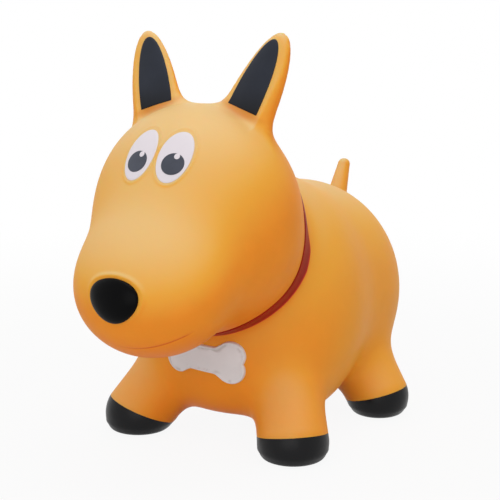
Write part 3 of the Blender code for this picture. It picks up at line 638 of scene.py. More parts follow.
def bone_top(settings):
    """A rounded rim just inside the bone's edge, and a level middle a little lower."""
    def height_at(share, flat):
        inside = np.maximum(-bone_field(settings, flat[:, 0], flat[:, 1]), 0)
        climb = 1 - np.minimum(inside / settings.rim_width, 1)
        dip = smooth_step(inside, settings.rim_width, BONE_LEVEL_START * settings.rim_width)
        return settings.thickness * np.sqrt(1 - climb**2) - settings.rim_height * dip
    return height_at


def bone_outline(settings, count):
    outline = []
    for angle in around(count):
        reach = np.linspace(0, settings.half_length * OUTLINE_REACH_SHARE, OUTLINE_TRIES)
        field = bone_field(settings, reach * math.cos(angle), reach * math.sin(angle))
        edge = reach[np.nonzero(field < 0)[0][-1]]
        outline.append((edge * math.cos(angle), edge * math.sin(angle)))
    return np.array(outline)


def lining_outline(count):
    """A leaf with a straight root edge and a round tip."""
    length = LINING_TIP - LINING_BASE
    outline = []
    for share in np.linspace(-1, 1, count):
        height = math.cos(share * math.pi / 2)
        width = math.copysign(math.sqrt(max(1 - height**LINING_TIP_POWER, 0)), share)
        outline.append((LINING_HALF_WIDTH * width - LINING_INWARD_SHIFT, LINING_BASE + length * height))
    for share in np.linspace(1, -1, count // 3)[1:-1]:
        outline.append((LINING_HALF_WIDTH * share - LINING_INWARD_SHIFT, LINING_BASE))
    return np.array(outline)


def relief(name, spot, outline, depth, height_at, rings):
    """A closed solid over an outline on the form, sunk by the depth under its rim.

    height_at gives the top's height over the form, from the share of the way from the middle to the
    rim and the flat places of the points there.
    """
    seat, sideways, upward, out = spot
    middle = outline.mean(axis=0)
    shares = np.sin(np.linspace(0, math.pi / 2, rings))
    built = bmesh.new()
    sheets = []
    for level_at in (height_at, lambda share, flat: -depth):
        sheet = []
        for share in shares:
            flat = middle + (outline - middle) * share if share else middle[None]
            starts = seat + flat[:, :1] * sideways + flat[:, 1:] * upward + out * DROP_START
            places = landed(starts, -out, level_at(share, flat))
            sheet.append([built.verts.new(place) for place in places])
        sheets.append(sheet)
    top, base = sheets
    skin_rings(built, base + top[::-1])
    return solid_from(built, name)


def flat_top(thickness, round_share):
    """A top that is level and rounds off to the form over the last part of its way to the rim."""
    def height_at(share, flat):
        over = max(share - (1 - round_share), 0) / round_share
        return thickness * math.sqrt(max(1 - over**2, 0))
    return height_at


def domed_top(height, edge):
    """A top that swells from an edge's height at the rim to the full height in the middle."""
    return lambda share, flat: edge + (height - edge) * math.sqrt(max(1 - share**2, 0))


# Shader helpers


class Value:
    """A number socket that takes part in Python sums; each sum adds its Math node."""

    def __init__(self, nodes, socket):
        self.nodes = nodes
        self.socket = socket

    def joined(self, operation, *terms):
        node = self.nodes.node("ShaderNodeMath", {"operation": operation}, dict(enumerate(terms)))
        return Value(self.nodes, node.outputs[0])

    def __add__(self, other):
        return self.joined("ADD", self, other)

    def __sub__(self, other):
        return self.joined("SUBTRACT", self, other)

    def __rsub__(self, other):
        return self.joined("SUBTRACT", other, self)

    def __mul__(self, other):
        return self.joined("MULTIPLY", self, other)

    def __truediv__(self, other):
        return self.joined("DIVIDE", self, other)

    def __pow__(self, other):
        return self.joined("POWER", self, other)

    __radd__ = __add__
    __rmul__ = __mul__

    def larger(self, other):
        return self.joined("MAXIMUM", self, other)

    def bell(self, width):
        """1 where the value is 0, falling away over the width."""
        scaled = self / width
        return self.joined("EXPONENT", scaled * scaled * -1)

    def between(self, low, high):
        """0 below low, 1 above high, and a smooth step from one to the other."""
        inputs = {"Value": self, "From Min": low, "From Max": high}
        settings = {"interpolation_type": "SMOOTHSTEP"}
        node = self.nodes.node("ShaderNodeMapRange", settings, inputs)
        return Value(self.nodes, node.outputs["Result"])


class Nodes:
    """A node tree that is being filled."""

    def __init__(self, tree):
        self.tree = tree

    def node(self, kind, settings=None, inputs=None):
        """A node of a kind: its settings come first, then a value or a link for each socket."""
        made = self.tree.nodes.new(kind)
        for setting, value in (settings or {}).items():
            setattr(made, setting, value)
        for socket, value in (inputs or {}).items():
            self.fill(made.inputs[socket], value)
        return made

    def fill(self, socket, value):
        if isinstance(value, Value):
            value = value.socket
        if isinstance(value, bpy.types.NodeSocket):
            self.tree.links.new(value, socket)
        else:
            socket.default_value = value


class Finish(Nodes):
    """A material being made: one Principled shader, with patterns in the piece's own metres."""

    def __init__(self, name, colour, roughness, **constants):
        self.material = bpy.data.materials.new(name)
        self.material.use_nodes = True
        self.material.diffuse_color = (*colour, 1)
        super().__init__(self.material.node_tree)
        self.shader = self.tree.nodes["Principled BSDF"]
        self.set("Base Color", (*colour, 1))
        self.set("Roughness", roughness)
        for socket, value in constants.items():
            self.set(socket.replace("_", " "), value)
        self.place = self.node("ShaderNodeTexCoord").outputs["Object"]

    def set(self, socket, value):
        self.fill(self.shader.inputs[socket], value)

    def places(self):
        """The shaded point's X, Y and Z."""
        parts = self.node("ShaderNodeSeparateXYZ", None, {"Vector": self.place}).outputs
        return [Value(self, part) for part in parts]

    def facing(self, direction):
        """How far the surface faces a direction: 1 straight at it, 0 square to it."""
        normal = self.node("ShaderNodeNewGeometry").outputs["Normal"]
        inputs = {0: normal, 1: direction}
        dot = self.node("ShaderNodeVectorMath", {"operation": "DOT_PRODUCT"}, inputs)
        return Value(self, dot.outputs["Value"])

    def noise(self, size, detail=2.0, roughness=0.5, distortion=0.0):
        """Noise about 0.5, whose lumps have about the size given."""
        inputs = {"Vector": self.place, "Scale": 1 / size, "Detail": detail}
        inputs.update({"Roughness": roughness, "Distortion": distortion})
        return Value(self, self.node("ShaderNodeTexNoise", None, inputs).outputs["Fac"])

    def mix(self, share, first, second):
        """A colour between two colours."""
        inputs = {0: share, 6: self.colour(first), 7: self.colour(second)}
        return self.node("ShaderNodeMix", {"data_type": "RGBA"}, inputs).outputs[2]

    def colour(self, value):
        return value if isinstance(value, bpy.types.NodeSocket) else (*value, 1)

    def bump(self, height, distance, **under):
        """The surface's normal over a relief, and over the normal under it where there is one."""
        inputs = {"Height": height, "Distance": distance, **under}
        return self.node("ShaderNodeBump", None, inputs).outputs["Normal"]


def shaded(colour, factor):
    return tuple(channel * factor for channel in colour)


def soft_plastic(name, colour, roughness, mottle, patches=0.06, **constants):
    """Sprayed soft PVC: cloudy in colour and sheen, with a fine leathery grain from the mould."""
    finish = Finish(name, colour, roughness, **constants)
    clouds = finish.noise(CLOUD_SIZE, detail=3.0, roughness=0.55)
    specks = finish.noise(SPECK_SIZE, roughness=0.6)
    share = clouds.between(*CLOUD_LEVELS) * (1 - SPECK_SHARE) + specks * SPECK_SHARE
    finish.base = finish.mix(share, shaded(colour, 1 - mottle), shaded(colour, 1 + mottle))
    finish.set("Base Color", finish.base)
    level = roughness - SPECK_SHEEN / 2 - patches / 2
    finish.set("Roughness", specks * SPECK_SHEEN + clouds * patches + level)
    swell = finish.bump(finish.noise(SWELL_SIZE), SWELL_HEIGHT)
    pores = finish.noise(PORE_SIZE, roughness=0.6)
    finish.set("Normal", finish.bump(pores, GRAIN_HEIGHT, Normal=swell))
    return finish


# Settings that a user would change


def metres(name, description, default, **limits):
    return FloatProperty(name=name, description=description, default=default, unit="LENGTH", **limits)


def paint(name, description, default):
    return FloatVectorProperty(name=name, description=description, default=default, subtype="COLOR")


class BouncySkin(bpy.types.PropertyGroup):
    step: metres("Mesh step", "Spacing of the skin's points", 0.0034, min=0.002)
    colour: paint("Orange", "Colour of the sprayed skin", (0.96, 0.306, 0.019))
    # Amber and the pale colour on the upper slopes are painted light: paler where the skin faces the lamps
    amber: paint("Amber", "Colour of the skin on its upper slopes", (0.94, 0.445, 0.048))
    # The redder orange below and under the ears' linings is painted shade
    painted_shade_orange: paint("Deep", "Redder colour of the skin below and under the ears' linings", (0.95, 0.235, 0.013))
    painted_highlight: paint("Faded", "Paler colour of the skin on its crowns", (0.87, 0.57, 0.235))
    roughness: FloatProperty(name="Roughness", description="Dullness of the skin", default=0.5)
    lip_height: metres("Nose lip", "How far the skin swells round the nose", 0.0012)
    rim_height: metres("Eye rims", "Height of the fine ridge round each eye", 0.0007)
    mouth_depth: metres("Mouth depth", "Depth of the pressed mouth line", 0.0005)
    mouth_width: metres("Mouth width", "Width of the pressed mouth line", 0.0009)
    tread_height: metres("Tread height", "Height of the rim round each foot", 0.0105)
    tread_step: metres("Tread step", "How far the foot draws in under its rim", 0.0009)


class BouncyFeet(bpy.types.PropertyGroup):
    colour: paint("Black", "Colour of the sprayed feet", (0.004, 0.004, 0.005))
    roughness: FloatProperty(name="Roughness", description="Dullness of the feet", default=0.36)


class BouncyCollar(bpy.types.PropertyGroup):
    width: metres("Width", "From the band's upper to its lower edge", 0.0165)
    bodyward_reach: metres("Towards the body", "From the crease to the lower edge", 0.0205)
    throat_shift: metres("Throat shift", "How far the band moves headward under the chin", 0.0175)
    nape_draw: metres("Nape draw", "How far the lower edge moves headward behind the neck", 0.0145)
    nape_narrowing: metres("Nape narrowing", "How much narrower the band is behind the neck", 0.0055)
    thickness: metres("Thickness", "Height of the band over the skin", 0.0026)
    piping: metres("Piping", "Radius of the bead along the lower edge", 0.0013)
    colour: paint("Red", "Colour of the band", (0.36, 0.016, 0.010))
    # The bead's brighter red is a painted highlight along the band's raised lower edge
    bead_highlight_colour: paint("Edge red", "Colour of the bead", (0.72, 0.055, 0.016))


class BouncyBone(bpy.types.PropertyGroup):
    height: metres("Middle height", "Where the bone's middle lies", 0.1152)
    turn: FloatProperty(name="Turn", description="Degrees that the bone leans", default=-4.2)
    half_length: metres("Half length", "From the middle to an end", 0.0556)
    knob_radius: metres("Knob radius", "Radius of each knob", 0.0183)
    knob_spread: metres("Knob spread", "From the bone's line to a knob's middle", 0.0092)
    shaft_half_width: metres("Shaft half width", "Half of the shaft's width", 0.0175)
    fillet: metres("Fillet", "How far knobs run into the shaft", 0.009)
    thickness: metres("Thickness", "Height over the skin", 0.0034)
    rim_width: metres("Rim width", "From the edge to the rim's crest", 0.0017)
    rim_height: metres("Rim height", "From the middle up to the rim's crest", 0.0008)
    colour: paint("Pearl grey", "Colour of the bone", (0.75, 0.735, 0.74))
    # The bone's shade colour is painted shade for the dip inside its rim
    shade: paint("Shade", "Colour of the paint inside the rim", (0.40, 0.36, 0.33))


class BouncyNose(bpy.types.PropertyGroup):
    half_width: metres("Half width", "Half of the nose's width", 0.0325)
    half_height: metres("Half height", "Half of the nose's height", 0.0252)
    taper: FloatProperty(name="Taper", description="Share by which it narrows", default=0.185)
    bulge: metres("Bulge", "Height over the skin", 0.0080)
    colour: paint("Black", "Colour of the nose", (0.0013, 0.0013, 0.0016))


class BouncyEyes(bpy.types.PropertyGroup):
    half_width: metres("Half width", "Half of the white's width", 0.0206)
    half_height: metres("Half height", "Half of the white's height", 0.0329)
    iris_half_width: metres("Iris half width", "Half of the dark disc's width", 0.0143)
    iris_half_height: metres("Iris half height", "Half of the dark disc's height", 0.0135)
    iris_drop: metres("Iris drop", "How far it lies below the middle", 0.0097)
    glint_radius: metres("Glint radius", "Radius of the pale dot", 0.0035)
    glint_aside: metres("Glint aside", "From the iris's middle to the dot", 0.0038)
    glint_rise: metres("Glint rise", "From the iris's middle up to the dot", 0.0092)
    white: paint("White", "Colour of the whites", (0.81, 0.745, 0.79))
    dark: paint("Dark", "Colour of the irises", (0.053, 0.059, 0.082))


class BouncyEars(bpy.types.PropertyGroup):
    thickness: metres("Thickness", "Height of the lining's relief", 0.0013)
    colour: paint("Slate", "Colour of the linings", (0.018, 0.022, 0.034))


class BouncyValve(bpy.types.PropertyGroup):
    steps: IntProperty(name="Steps", description="Facets round the valve", default=64, min=12)
    seat_colour: paint("Seat", "Colour of the valve's seat", (0.70, 0.68, 0.64))
    plug_colour: paint("Plug", "Colour of the plug", (0.80, 0.80, 0.78))


class BouncyStage(bpy.types.PropertyGroup):
    floor_colour: paint("Floor", "Colour of the floor", (0.62, 0.62, 0.62))
    world_strength: FloatProperty(
        name="Sky", description="Strength of the even light from all round", default=0.655
    )
    key_power: FloatProperty(
        name="Key light", description="Power of the large lamp before the dog", default=8.2,
        unit="POWER",
    )
    top_power: FloatProperty(
        name="Top light", description="Power of the lamp overhead", default=11.0, unit="POWER"
    )


# Operators, one for each piece or group of like pieces


def foot_block(end, hand):
    """A block that holds one foot up to its colour line."""
    _, foot, _, radius = LEGS[end]
    height, outward_slope, forward_slope = COLOUR_LINES[f"{end}_{hand}"]
    side = SIDES[hand]
    upward = Vector((-outward_slope * side, forward_slope, 1)).normalized()
    across = Vector((side, 0, outward_slope)).normalized()
    turn = Matrix((across, upward.cross(across), upward)).transposed().to_4x4()
    reach = radius * FOOT_BLOCK_SHARE
    place = Matrix.Translation((foot[0] * side, foot[1], height)) @ turn
    place = place @ Matrix.Diagonal((reach, reach, reach, 1)) @ Matrix.Translation((0, 0, -1))
    built = bmesh.new()
    bmesh.ops.create_cube(built, size=2, matrix=place)
    return solid_from(built, "foot_block")


def mouth_distance(points):
    """Distance on the muzzle's front to the mouth line."""
    across, height = points[:, 0], points[:, 2]
    off_line = (height - MOUTH_LOW - MOUTH_CURVE * across**2)
    off_line = off_line / np.sqrt(1 + (2 * MOUTH_CURVE * across) ** 2)
    beyond = np.maximum(np.abs(across) - MOUTH_HALF_WIDTH, 0)
    behind = np.maximum(points[:, 1] - MUZZLE[0][1], 0)
    return np.sqrt(off_line**2 + beyond**2 + behind**2)


def skin_detail(skin, nose, eyes, points):
    """How far the skin's fine forms stand off the plain form."""
    across, up = flat_places(points, tangent_frame(NOSE_PLACE))
    facing = points[:, 1] < MUZZLE[0][1]
    off_nose = (nose_share(nose, across, up) - 1) * nose.half_width
    stronger_above = LIP_SHARES[0] + LIP_SHARES[1] * np.clip(up / nose.half_height, -1, 1)
    lip = skin.lip_height * stronger_above * np.exp(-(((off_nose - LIP_OFFSET) / LIP_WIDTH) ** 2))
    detail = np.where(facing, lip, 0)
    for hand in EYES:
        off_eye = (oval_share(eyes, points, hand) - 1) * eyes.half_width
        rise = (points[:, 2] - EYES[hand][1]) / eyes.half_height
        off_rim = off_eye - EYE_RIM_OFFSET - EYE_RIM_OPENING * rise
        rim = skin.rim_height * np.exp(-((off_rim / EYE_RIM_WIDTH) ** 2))
        detail = detail + np.where(points[:, 1] < SKULL[0][1], rim, 0)
    groove = np.exp(-((mouth_distance(points) / skin.mouth_width) ** 2))
    strong = smooth_step(points[:, 0], *MOUTH_FADE)
    fainter = MOUTH_LEAST_DEPTH + (1 - MOUTH_LEAST_DEPTH) * strong
    return detail - skin.mouth_depth * fainter * groove


def tread_detail(skin, points):
    """How far the foot stands out at its rim and draws in under it, sideways."""
    rim_foot = skin.tread_height - TREAD_DRAW_HEIGHT
    under_rim = 1 - smooth_step(points[:, 2], rim_foot, skin.tread_height)
    off_bead = points[:, 2] - skin.tread_height - TREAD_BEAD_RISE
    bead = np.exp(-((off_bead / TREAD_BEAD_WIDTH) ** 2))
    return skin.tread_step * (TREAD_BEAD_SHARE * bead - under_rim)


def off_nose_edge(nose, points):
    """How far points on the muzzle's front lie off the nose's outline, as a share of its size."""
    share = nose_share(nose, *flat_places(points, tangent_frame(NOSE_PLACE)))
    return np.abs(share - 1) + OUT_OF_REACH * (points[:, 1] > MUZZLE[0][1])


def off_eye_rim(eyes, points, hand):
    """How far points on the head's front lie off an eye's rim, as a share of the eye's size."""
    off_rim = np.abs(oval_share(eyes, points, hand) - EYE_RIM_SHARE)
    return off_rim + OUT_OF_REACH * (points[:, 1] > SKULL[0][1])


def fine_skin(skin, nose, eyes):
    """The whole outer surface: remeshed, evened, settled on the form and given its fine forms."""
    item = linked("form", raw_form())
    remesh = item.modifiers.new("Remesh", "REMESH")
    remesh.mode = "VOXEL"
    remesh.voxel_size = skin.step
    mesh = evaluated(item)
    points = settled(skin_field, points_of(mesh))
    place_points(mesh, relaxed(mesh, points, skin_field))
    for reach in MOUTH_FINE_REACHES:
        refined(mesh, mouth_distance, reach)
    refined(mesh, lambda p: off_nose_edge(nose, p), NOSE_FINE_SHARE)
    for hand in EYES:
        refined(mesh, lambda p: off_eye_rim(eyes, p, hand), EYE_FINE_SHARE)
    refined(mesh, lambda p: np.linalg.norm(ear_places(p) - EAR_CREASE, axis=1), EAR_FINE_REACH)
    points = settled(skin_field, points_of(mesh), rounds=3)
    out = outward(skin_field, points)
    points = points + out * skin_detail(skin, nose, eyes, points)[:, None]
    points = points + out * (1, 1, 0) * tread_detail(skin, points)[:, None]
    points[:, 2] = np.maximum(points[:, 2], 0)
    place_points(mesh, points)
    return mesh


def orange_skin(skin):
    """The sprayed orange, red in the mouth line; painted highlight makes it paler on its crowns, and
    painted shade makes it redder below and under the ears.
    """
    finish = soft_plastic(
        "orange_pvc", skin.colour, skin.roughness, mottle=0.035,
        Specular_IOR_Level=0.2, Subsurface_Weight=0.3, Subsurface_Radius=(1, 0.3, 0.1),
        Subsurface_Scale=0.012,
    )
    across, ahead, height = finish.places()
    beside = (across * across) ** 0.5

    slope = finish.facing(LIT_CROWN_DIRECTION)
    over_legs = height.between(*LEG_TINT_HEIGHTS) * (1 - LEG_TINT_SHARE) + LEG_TINT_SHARE
    tints = (
        (ahead.between(*TORSO_TINT_DEPTHS) * TORSO_TINT_SHARE, skin.amber),
        # Painted light: slopes that face up and forward turn amber, then pale as a painted highlight, less
        # so low on the legs
        (slope.between(*LIT_AMBER_SLOPES) * over_legs, skin.amber),
        (slope.between(*HIGHLIGHT_SLOPES) * over_legs, skin.painted_highlight),
        # Painted shade: slopes that face down turn redder
        (finish.facing((0, 0, -1)).between(*SHADE_SLOPES), skin.painted_shade_orange),
        # Painted shade in the fold under each ear's lining, in a darker copy of the redder orange
        (painted_fold_shade(beside, ahead, height), shaded(skin.painted_shade_orange, FOLD_SHADE)),
        (mouth_tint(skin, across, ahead, height), MOUTH_RED),
    )
    base = finish.base
    for share, tint in tints:
        base = finish.mix(share, base, tint)
    finish.set("Base Color", base)
    return finish


def painted_fold_shade(beside, ahead, height):
    """How strongly painted shade darkens the fold under each ear's lining."""
    middle = EAR_ROOT + np.array(LINING_FOLD) @ EAR_AXES
    aside = beside - middle[0]
    above = height - middle[2] + aside * LINING_FOLD_SLOPE
    ways = zip((aside, ahead - middle[1], above), LINING_FOLD_REACHES)
    off_fold = sum((way / reach) * (way / reach) for way, reach in ways) ** 0.5
    return (1 - off_fold.between(*FOLD_TINT_SHARES)) * FOLD_TINT_STRENGTH


def mouth_tint(skin, across, ahead, height):
    """How strongly the mouth line is painted."""
    off_line = height - MOUTH_LOW - across * across * MOUTH_CURVE
    in_line = off_line.bell(skin.mouth_width * MOUTH_PAINT_WIDTH)
    forward = (MUZZLE[0][1] - ahead).between(0, MOUTH_PAINT_REACH)
    end = MOUTH_HALF_WIDTH**2
    within = 1 - (across * across).between(MOUTH_PAINT_FADE * end, end)
    fainter = across.between(*MOUTH_FADE) * (1 - MOUTH_LEAST_PAINT) + MOUTH_LEAST_PAINT
    return in_line * forward * within * fainter * MOUTH_PAINT_STRENGTH


def turned_mesh(name, profile, centre, steps):
    """A solid of revolution about a vertical axis.

    Its (radius, height) points are listed upward, from the axis and back to it.
    """
    built = bmesh.new()
    rings = []
    for radius, height in profile:
        ring = []
        for step in range(steps if radius else 1):
            angle = math.tau * step / steps
            place = Vector((radius * math.cos(angle), radius * math.sin(angle), height))
            ring.append(built.verts.new(place + Vector(centre)))
        rings.append(ring)
    skin_rings(built, rings)
    return solid_from(built, name)


def valve_pocket(steps):
    """A round block that opens the skin for the valve's seat."""
    low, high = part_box("valve_seat")
    radius = (high.x - low.x) * POCKET_SHARE
    centre = ((low.x + high.x) / 2, (low.y + high.y) / 2, low.z)
    foot, head = POCKET_ENDS
    profile = ((0, foot), (radius, foot), (radius, head), (0, head))
    return turned_mesh("pocket", profile, centre, steps)


class BOUNCY_OT_skin(bpy.types.Operator):
    """Make the orange skin and the black feet from one fine surface"""

    bl_idname = "bouncy.skin"
    bl_label = "Skin and feet"

    def execute(self, context):
        scene = context.scene
        skin, feet = scene.bouncy_skin, scene.bouncy_feet
        whole = fine_skin(skin, scene.bouncy_nose, scene.bouncy_eyes)
        black = soft_plastic(
            "black_pvc", feet.colour, feet.roughness, mottle=0.15, patches=0.5, Specular_IOR_Level=0.2
        )
        orange = whole
        for end in LEGS:
            for hand in SIDES:
                node = f"foot_{end}_{hand}"
                foot = boolean(whole, foot_block(end, hand), "INTERSECT")
                finished(f"shoe_{end}_{hand}", foot, black, [node])
                orange = boolean(orange, foot_block(end, hand), "DIFFERENCE")
        orange = boolean(orange, valve_pocket(scene.bouncy_valve.steps), "DIFFERENCE")
        finished("skin", orange, orange_skin(skin), ["body_shell"])
        return {"FINISHED"}


def crease_points(angles, offset, level):
    """Points round the neck at a level over the form and an offset from the crease.

    The offset is how much nearer the point is to the torso's form than to the plain head's.
    """
    lean = math.radians(NECK_LEAN)
    headward = np.array((0, -math.sin(lean), math.cos(lean)))
    in_plane = np.array((0, headward[2], -headward[1]))
    centre = np.array((0, (NECK[0][1] + SKULL[0][1]) / 2, NECK[0][2]))
    rays = np.outer(np.cos(angles), (1, 0, 0)) + np.outer(np.sin(angles), in_plane)
    points = centre + rays * NECK[1][0]
    for _ in range(CREASE_ROUNDS):
        height = form_field(points) - level
        drift = plain_head_field(points) - body_field(points) - offset
        up = gradient(form_field, points)
        over = gradient(plain_head_field, points) - gradient(body_field, points)
        up_ray, up_head = (up * rays).sum(axis=1), up @ headward
        over_ray, over_head = (over * rays).sum(axis=1), over @ headward
        scale = up_ray * over_head - up_head * over_ray
        scale = np.copysign(np.maximum(np.abs(scale), LEAST_CROSSING), scale)
        move_ray = (height * over_head - drift * up_head) / scale
        move_head = (drift * up_ray - height * over_ray) / scale
        move_ray, move_head = (np.clip(m, -MAX_STEP, MAX_STEP) for m in (move_ray, move_head))
        points = points - rays * move_ray[:, None] - np.outer(move_head, headward)
    return points


PIPING_INPUTS = {
    "Geometry": "NodeSocketGeometry",
    "Radius": "NodeSocketFloat",
    "Material": "NodeSocketMaterial",
}


def piping_tree():
    """Nodes that sweep a round bead along a loop of edges."""
    tree = bpy.data.node_groups.new("piping", "GeometryNodeTree")
    face = tree.interface
    for name, kind in PIPING_INPUTS.items():
        face.new_socket(name, in_out="INPUT", socket_type=kind)
    face.new_socket("Geometry", in_out="OUTPUT", socket_type="NodeSocketGeometry")
    nodes = Nodes(tree)
    given = nodes.node("NodeGroupInput").outputs
    path = nodes.node("GeometryNodeMeshToCurve", None, {"Mesh": given["Geometry"]})
    inputs = {"Resolution": BEAD_STEPS, "Radius": given["Radius"]}
    ring = nodes.node("GeometryNodeCurvePrimitiveCircle", None, inputs)
    inputs = {"Curve": path.outputs["Curve"], "Profile Curve": ring.outputs["Curve"]}
    sweep = nodes.node("GeometryNodeCurveToMesh", None, inputs)
    real = nodes.node("GeometryNodeRealizeInstances", None, {"Geometry": sweep.outputs["Mesh"]})
    inputs = {"Geometry": real.outputs["Geometry"], "Material": given["Material"]}
    painted = nodes.node("GeometryNodeSetMaterial", None, inputs)
    nodes.node("NodeGroupOutput", None, {"Geometry": painted.outputs["Geometry"]})
    return tree


def piping(name, points, radius, material):
    """A closed bead along a loop of points."""
    built = bmesh.new()
    corners = [built.verts.new(point) for point in points]
    for corner, after in zip(corners, corners[1:] + corners[:1]):
        built.edges.new((corner, after))
    item = linked(name, mesh_from(built, name))
    modifier = item.modifiers.new("Piping", "NODES")
    modifier.node_group = piping_tree()
    given = {"Radius": radius, "Material": material}
    for entry in modifier.node_group.interface.items_tree:
        if entry.in_out == "INPUT" and entry.name in given:
            modifier[entry.identifier] = given[entry.name]
    mesh = evaluated(item)
    fixed = bmesh.new()
    fixed.from_mesh(mesh)
    bmesh.ops.recalc_face_normals(fixed, faces=fixed.faces[:])
    fixed.to_mesh(mesh)
    fixed.free()
    return mesh


class BOUNCY_OT_collar(bpy.types.Operator):
    """Make the red band in the neck's crease, with a bead along its lower edge"""

    bl_idname = "bouncy.collar"
    bl_label = "Collar"

    def execute(self, context):
        collar = context.scene.bouncy_collar
        angles = around(BAND_STEPS)
        rise = np.sin(angles)
        at_nape = smooth_step(rise, *NAPE_RISES)
        last = collar.bodyward_reach + collar.throat_shift * np.minimum(rise, 0)
        last = last - collar.nape_draw * at_nape
        first = last - collar.width + collar.nape_narrowing * at_nape
        loops = []
        for share in np.linspace(0, 1, BAND_TOP_ROWS):
            round_share = math.sin(math.pi * (BAND_EDGE_SHARE + (1 - 2 * BAND_EDGE_SHARE) * share))
            height = collar.thickness * round_share**BAND_CROWN_POWER
            loops.append(crease_points(angles, first + (last - first) * share, height))
        for share in np.linspace(1, 0, BAND_BASE_ROWS):
            loops.append(crease_points(angles, first + (last - first) * share, -BAND_DEPTH))
        built = bmesh.new()
        rings = [[built.verts.new(place) for place in loop] for loop in loops]
        skin_rings(built, rings + rings[:1])
        red = soft_plastic(
            "collar_red_pvc", collar.colour, roughness=0.42, mottle=0.12, Specular_IOR_Level=0.12
        )
        # The bead's finish is a brighter red, as a painted highlight
        edge = soft_plastic(
            "collar_edge_pvc", collar.bead_highlight_colour, roughness=0.42, mottle=0.06, Specular_IOR_Level=0.2
        )
        band = solid_from(built, "band")
        finished("collar", band, red, ["collar_band"], angle=50.0)
        loop = crease_points(angles, last, collar.piping * BEAD_RISE_SHARE)
        bead = piping("bead", loop, collar.piping, edge.material)
        finished("collar_bead", bead, edge, [])
        return {"FINISHED"}


class BOUNCY_OT_bone(bpy.types.Operator):
    """Make the pearl-grey bone that lies on the chest"""

    bl_idname = "bouncy.bone"
    bl_label = "Bone"

    def execute(self, context):
        bone = context.scene.bouncy_bone
        spot = tangent_frame((0, bone.height), bone.turn)
        outline = bone_outline(bone, count=160)
        mesh = relief("relief", spot, outline, RIM_DEPTH, bone_top(bone), rings=26)
        inside = mesh.attributes.new("inside", "FLOAT", "POINT")
        inside.data.foreach_set("value", -bone_field(bone, *flat_places(points_of(mesh), spot)))
        finish = soft_plastic("pearl_pvc", bone.colour, roughness=0.38, mottle=0.05, Metallic=0.10)
        # Painted shade in the dip inside the rim, broken into patches
        reader = finish.node("ShaderNodeAttribute", {"attribute_name": "inside"})
        depth = Value(finish, reader.outputs["Fac"])
        patches = finish.noise(BONE_PATCH_SIZE, distortion=0.8).between(*BONE_PATCH_LEVELS)
        off_shade = depth - BONE_SHADE_PLACE * bone.rim_width
        within = off_shade.bell(BONE_SHADE_WIDTH * bone.rim_width)
        share = within * patches * BONE_SHADE_STRENGTH
        finish.set("Base Color", finish.mix(share, finish.base, bone.shade))
        finished("bone", mesh, finish, ["bone_tag"])
        return {"FINISHED"}


class BOUNCY_OT_nose(bpy.types.Operator):
    """Make the domed black nose"""

    bl_idname = "bouncy.nose"
    bl_label = "Nose"

    def execute(self, context):
        nose = context.scene.bouncy_nose
        top = domed_top(nose.bulge, NOSE_EDGE_HEIGHT)
        outline = nose_outline(nose, count=120)
        mesh = relief("boss", tangent_frame(NOSE_PLACE), outline, RIM_DEPTH, top, rings=26)
        finish = soft_plastic(
            "nose_pvc", nose.colour, roughness=0.32, mottle=0.15, Specular_IOR_Level=0.06
        )
        finished("nose_pad", mesh, finish, ["nose"], angle=60.0)
        return {"FINISHED"}


class BOUNCY_OT_eyes(bpy.types.Operator):
    """Make both eyes: white ovals, dark irises and small glints"""

    bl_idname = "bouncy.eyes"
    bl_label = "Eyes"

    def execute(self, context):
        eyes = context.scene.bouncy_eyes
        white = soft_plastic("eye_white_print", eyes.white, roughness=0.40, mottle=0.02)
        dark = soft_plastic(
            "iris_print", eyes.dark, roughness=0.40, mottle=0.20, Specular_IOR_Level=0.35
        )
        pale = soft_plastic("glint_print", eyes.white, roughness=0.35, mottle=0.02)
        for hand, (aside, height, lean) in EYES.items():
            leaning = tangent_frame((aside, height), lean)
            upright = tangent_frame((aside, height))
            shape = oval(eyes.half_width, eyes.half_height, count=96)
            mesh = relief("white", leaning, shape, WHITE_DEPTH, flat_top(*WHITE_TOP), rings=16)
            finished(f"eye_oval_{hand}", mesh, white, [f"eye_white_{hand}"])
            shift = (0, -eyes.iris_drop)
            shape = oval(eyes.iris_half_width, eyes.iris_half_height, count=72, shift=shift)
            mesh = relief("iris", upright, shape, IRIS_DEPTH, flat_top(*IRIS_TOP), rings=12)
            finished(f"iris_{hand}", mesh, dark, [f"pupil_{hand}"])
            shift = (eyes.glint_aside, eyes.glint_rise - eyes.iris_drop)
            shape = oval(eyes.glint_radius, eyes.glint_radius, count=40, shift=shift)
            mesh = relief("glint", upright, shape, GLINT_DEPTH, domed_top(*GLINT_TOP), rings=8)
            finished(f"glint_{hand}", mesh, pale, [f"eye_glint_{hand}"])
        return {"FINISHED"}


class BOUNCY_OT_ears(bpy.types.Operator):
    """Make the dark linings in the ears' dishes"""

    bl_idname = "bouncy.ears"
    bl_label = "Ear linings"

    def execute(self, context):
        ears = context.scene.bouncy_ears
        slate = soft_plastic(
            "lining_pvc", ears.colour, roughness=0.42, mottle=0.15, Specular_IOR_Level=0.22
        )
        # Painted shade: the lining is darker towards its root
        _, _, height = slate.places()
        up_ear = (height - (EAR_ROOT[2] + LINING_BASE)).between(*LINING_SHADE_HEIGHTS)
        root = shaded(ears.colour, LINING_SHADE)
        slate.set("Base Color", slate.mix(up_ear, root, slate.base))
        across, front, upward = EAR_AXES
        top = flat_top(ears.thickness, LINING_ROUND_SHARE)
        outline = lining_outline(count=90)
        for hand, side in SIDES.items():
            flip = np.array((side, 1, 1))
            spot = (EAR_ROOT * flip, across * flip, upward * flip, front * flip)
            mesh = relief("leaf", spot, outline, RIM_DEPTH, top, rings=18)
            finished(f"lining_{hand}", mesh, slate, [f"ear_lining_{hand}"])
        return {"FINISHED"}


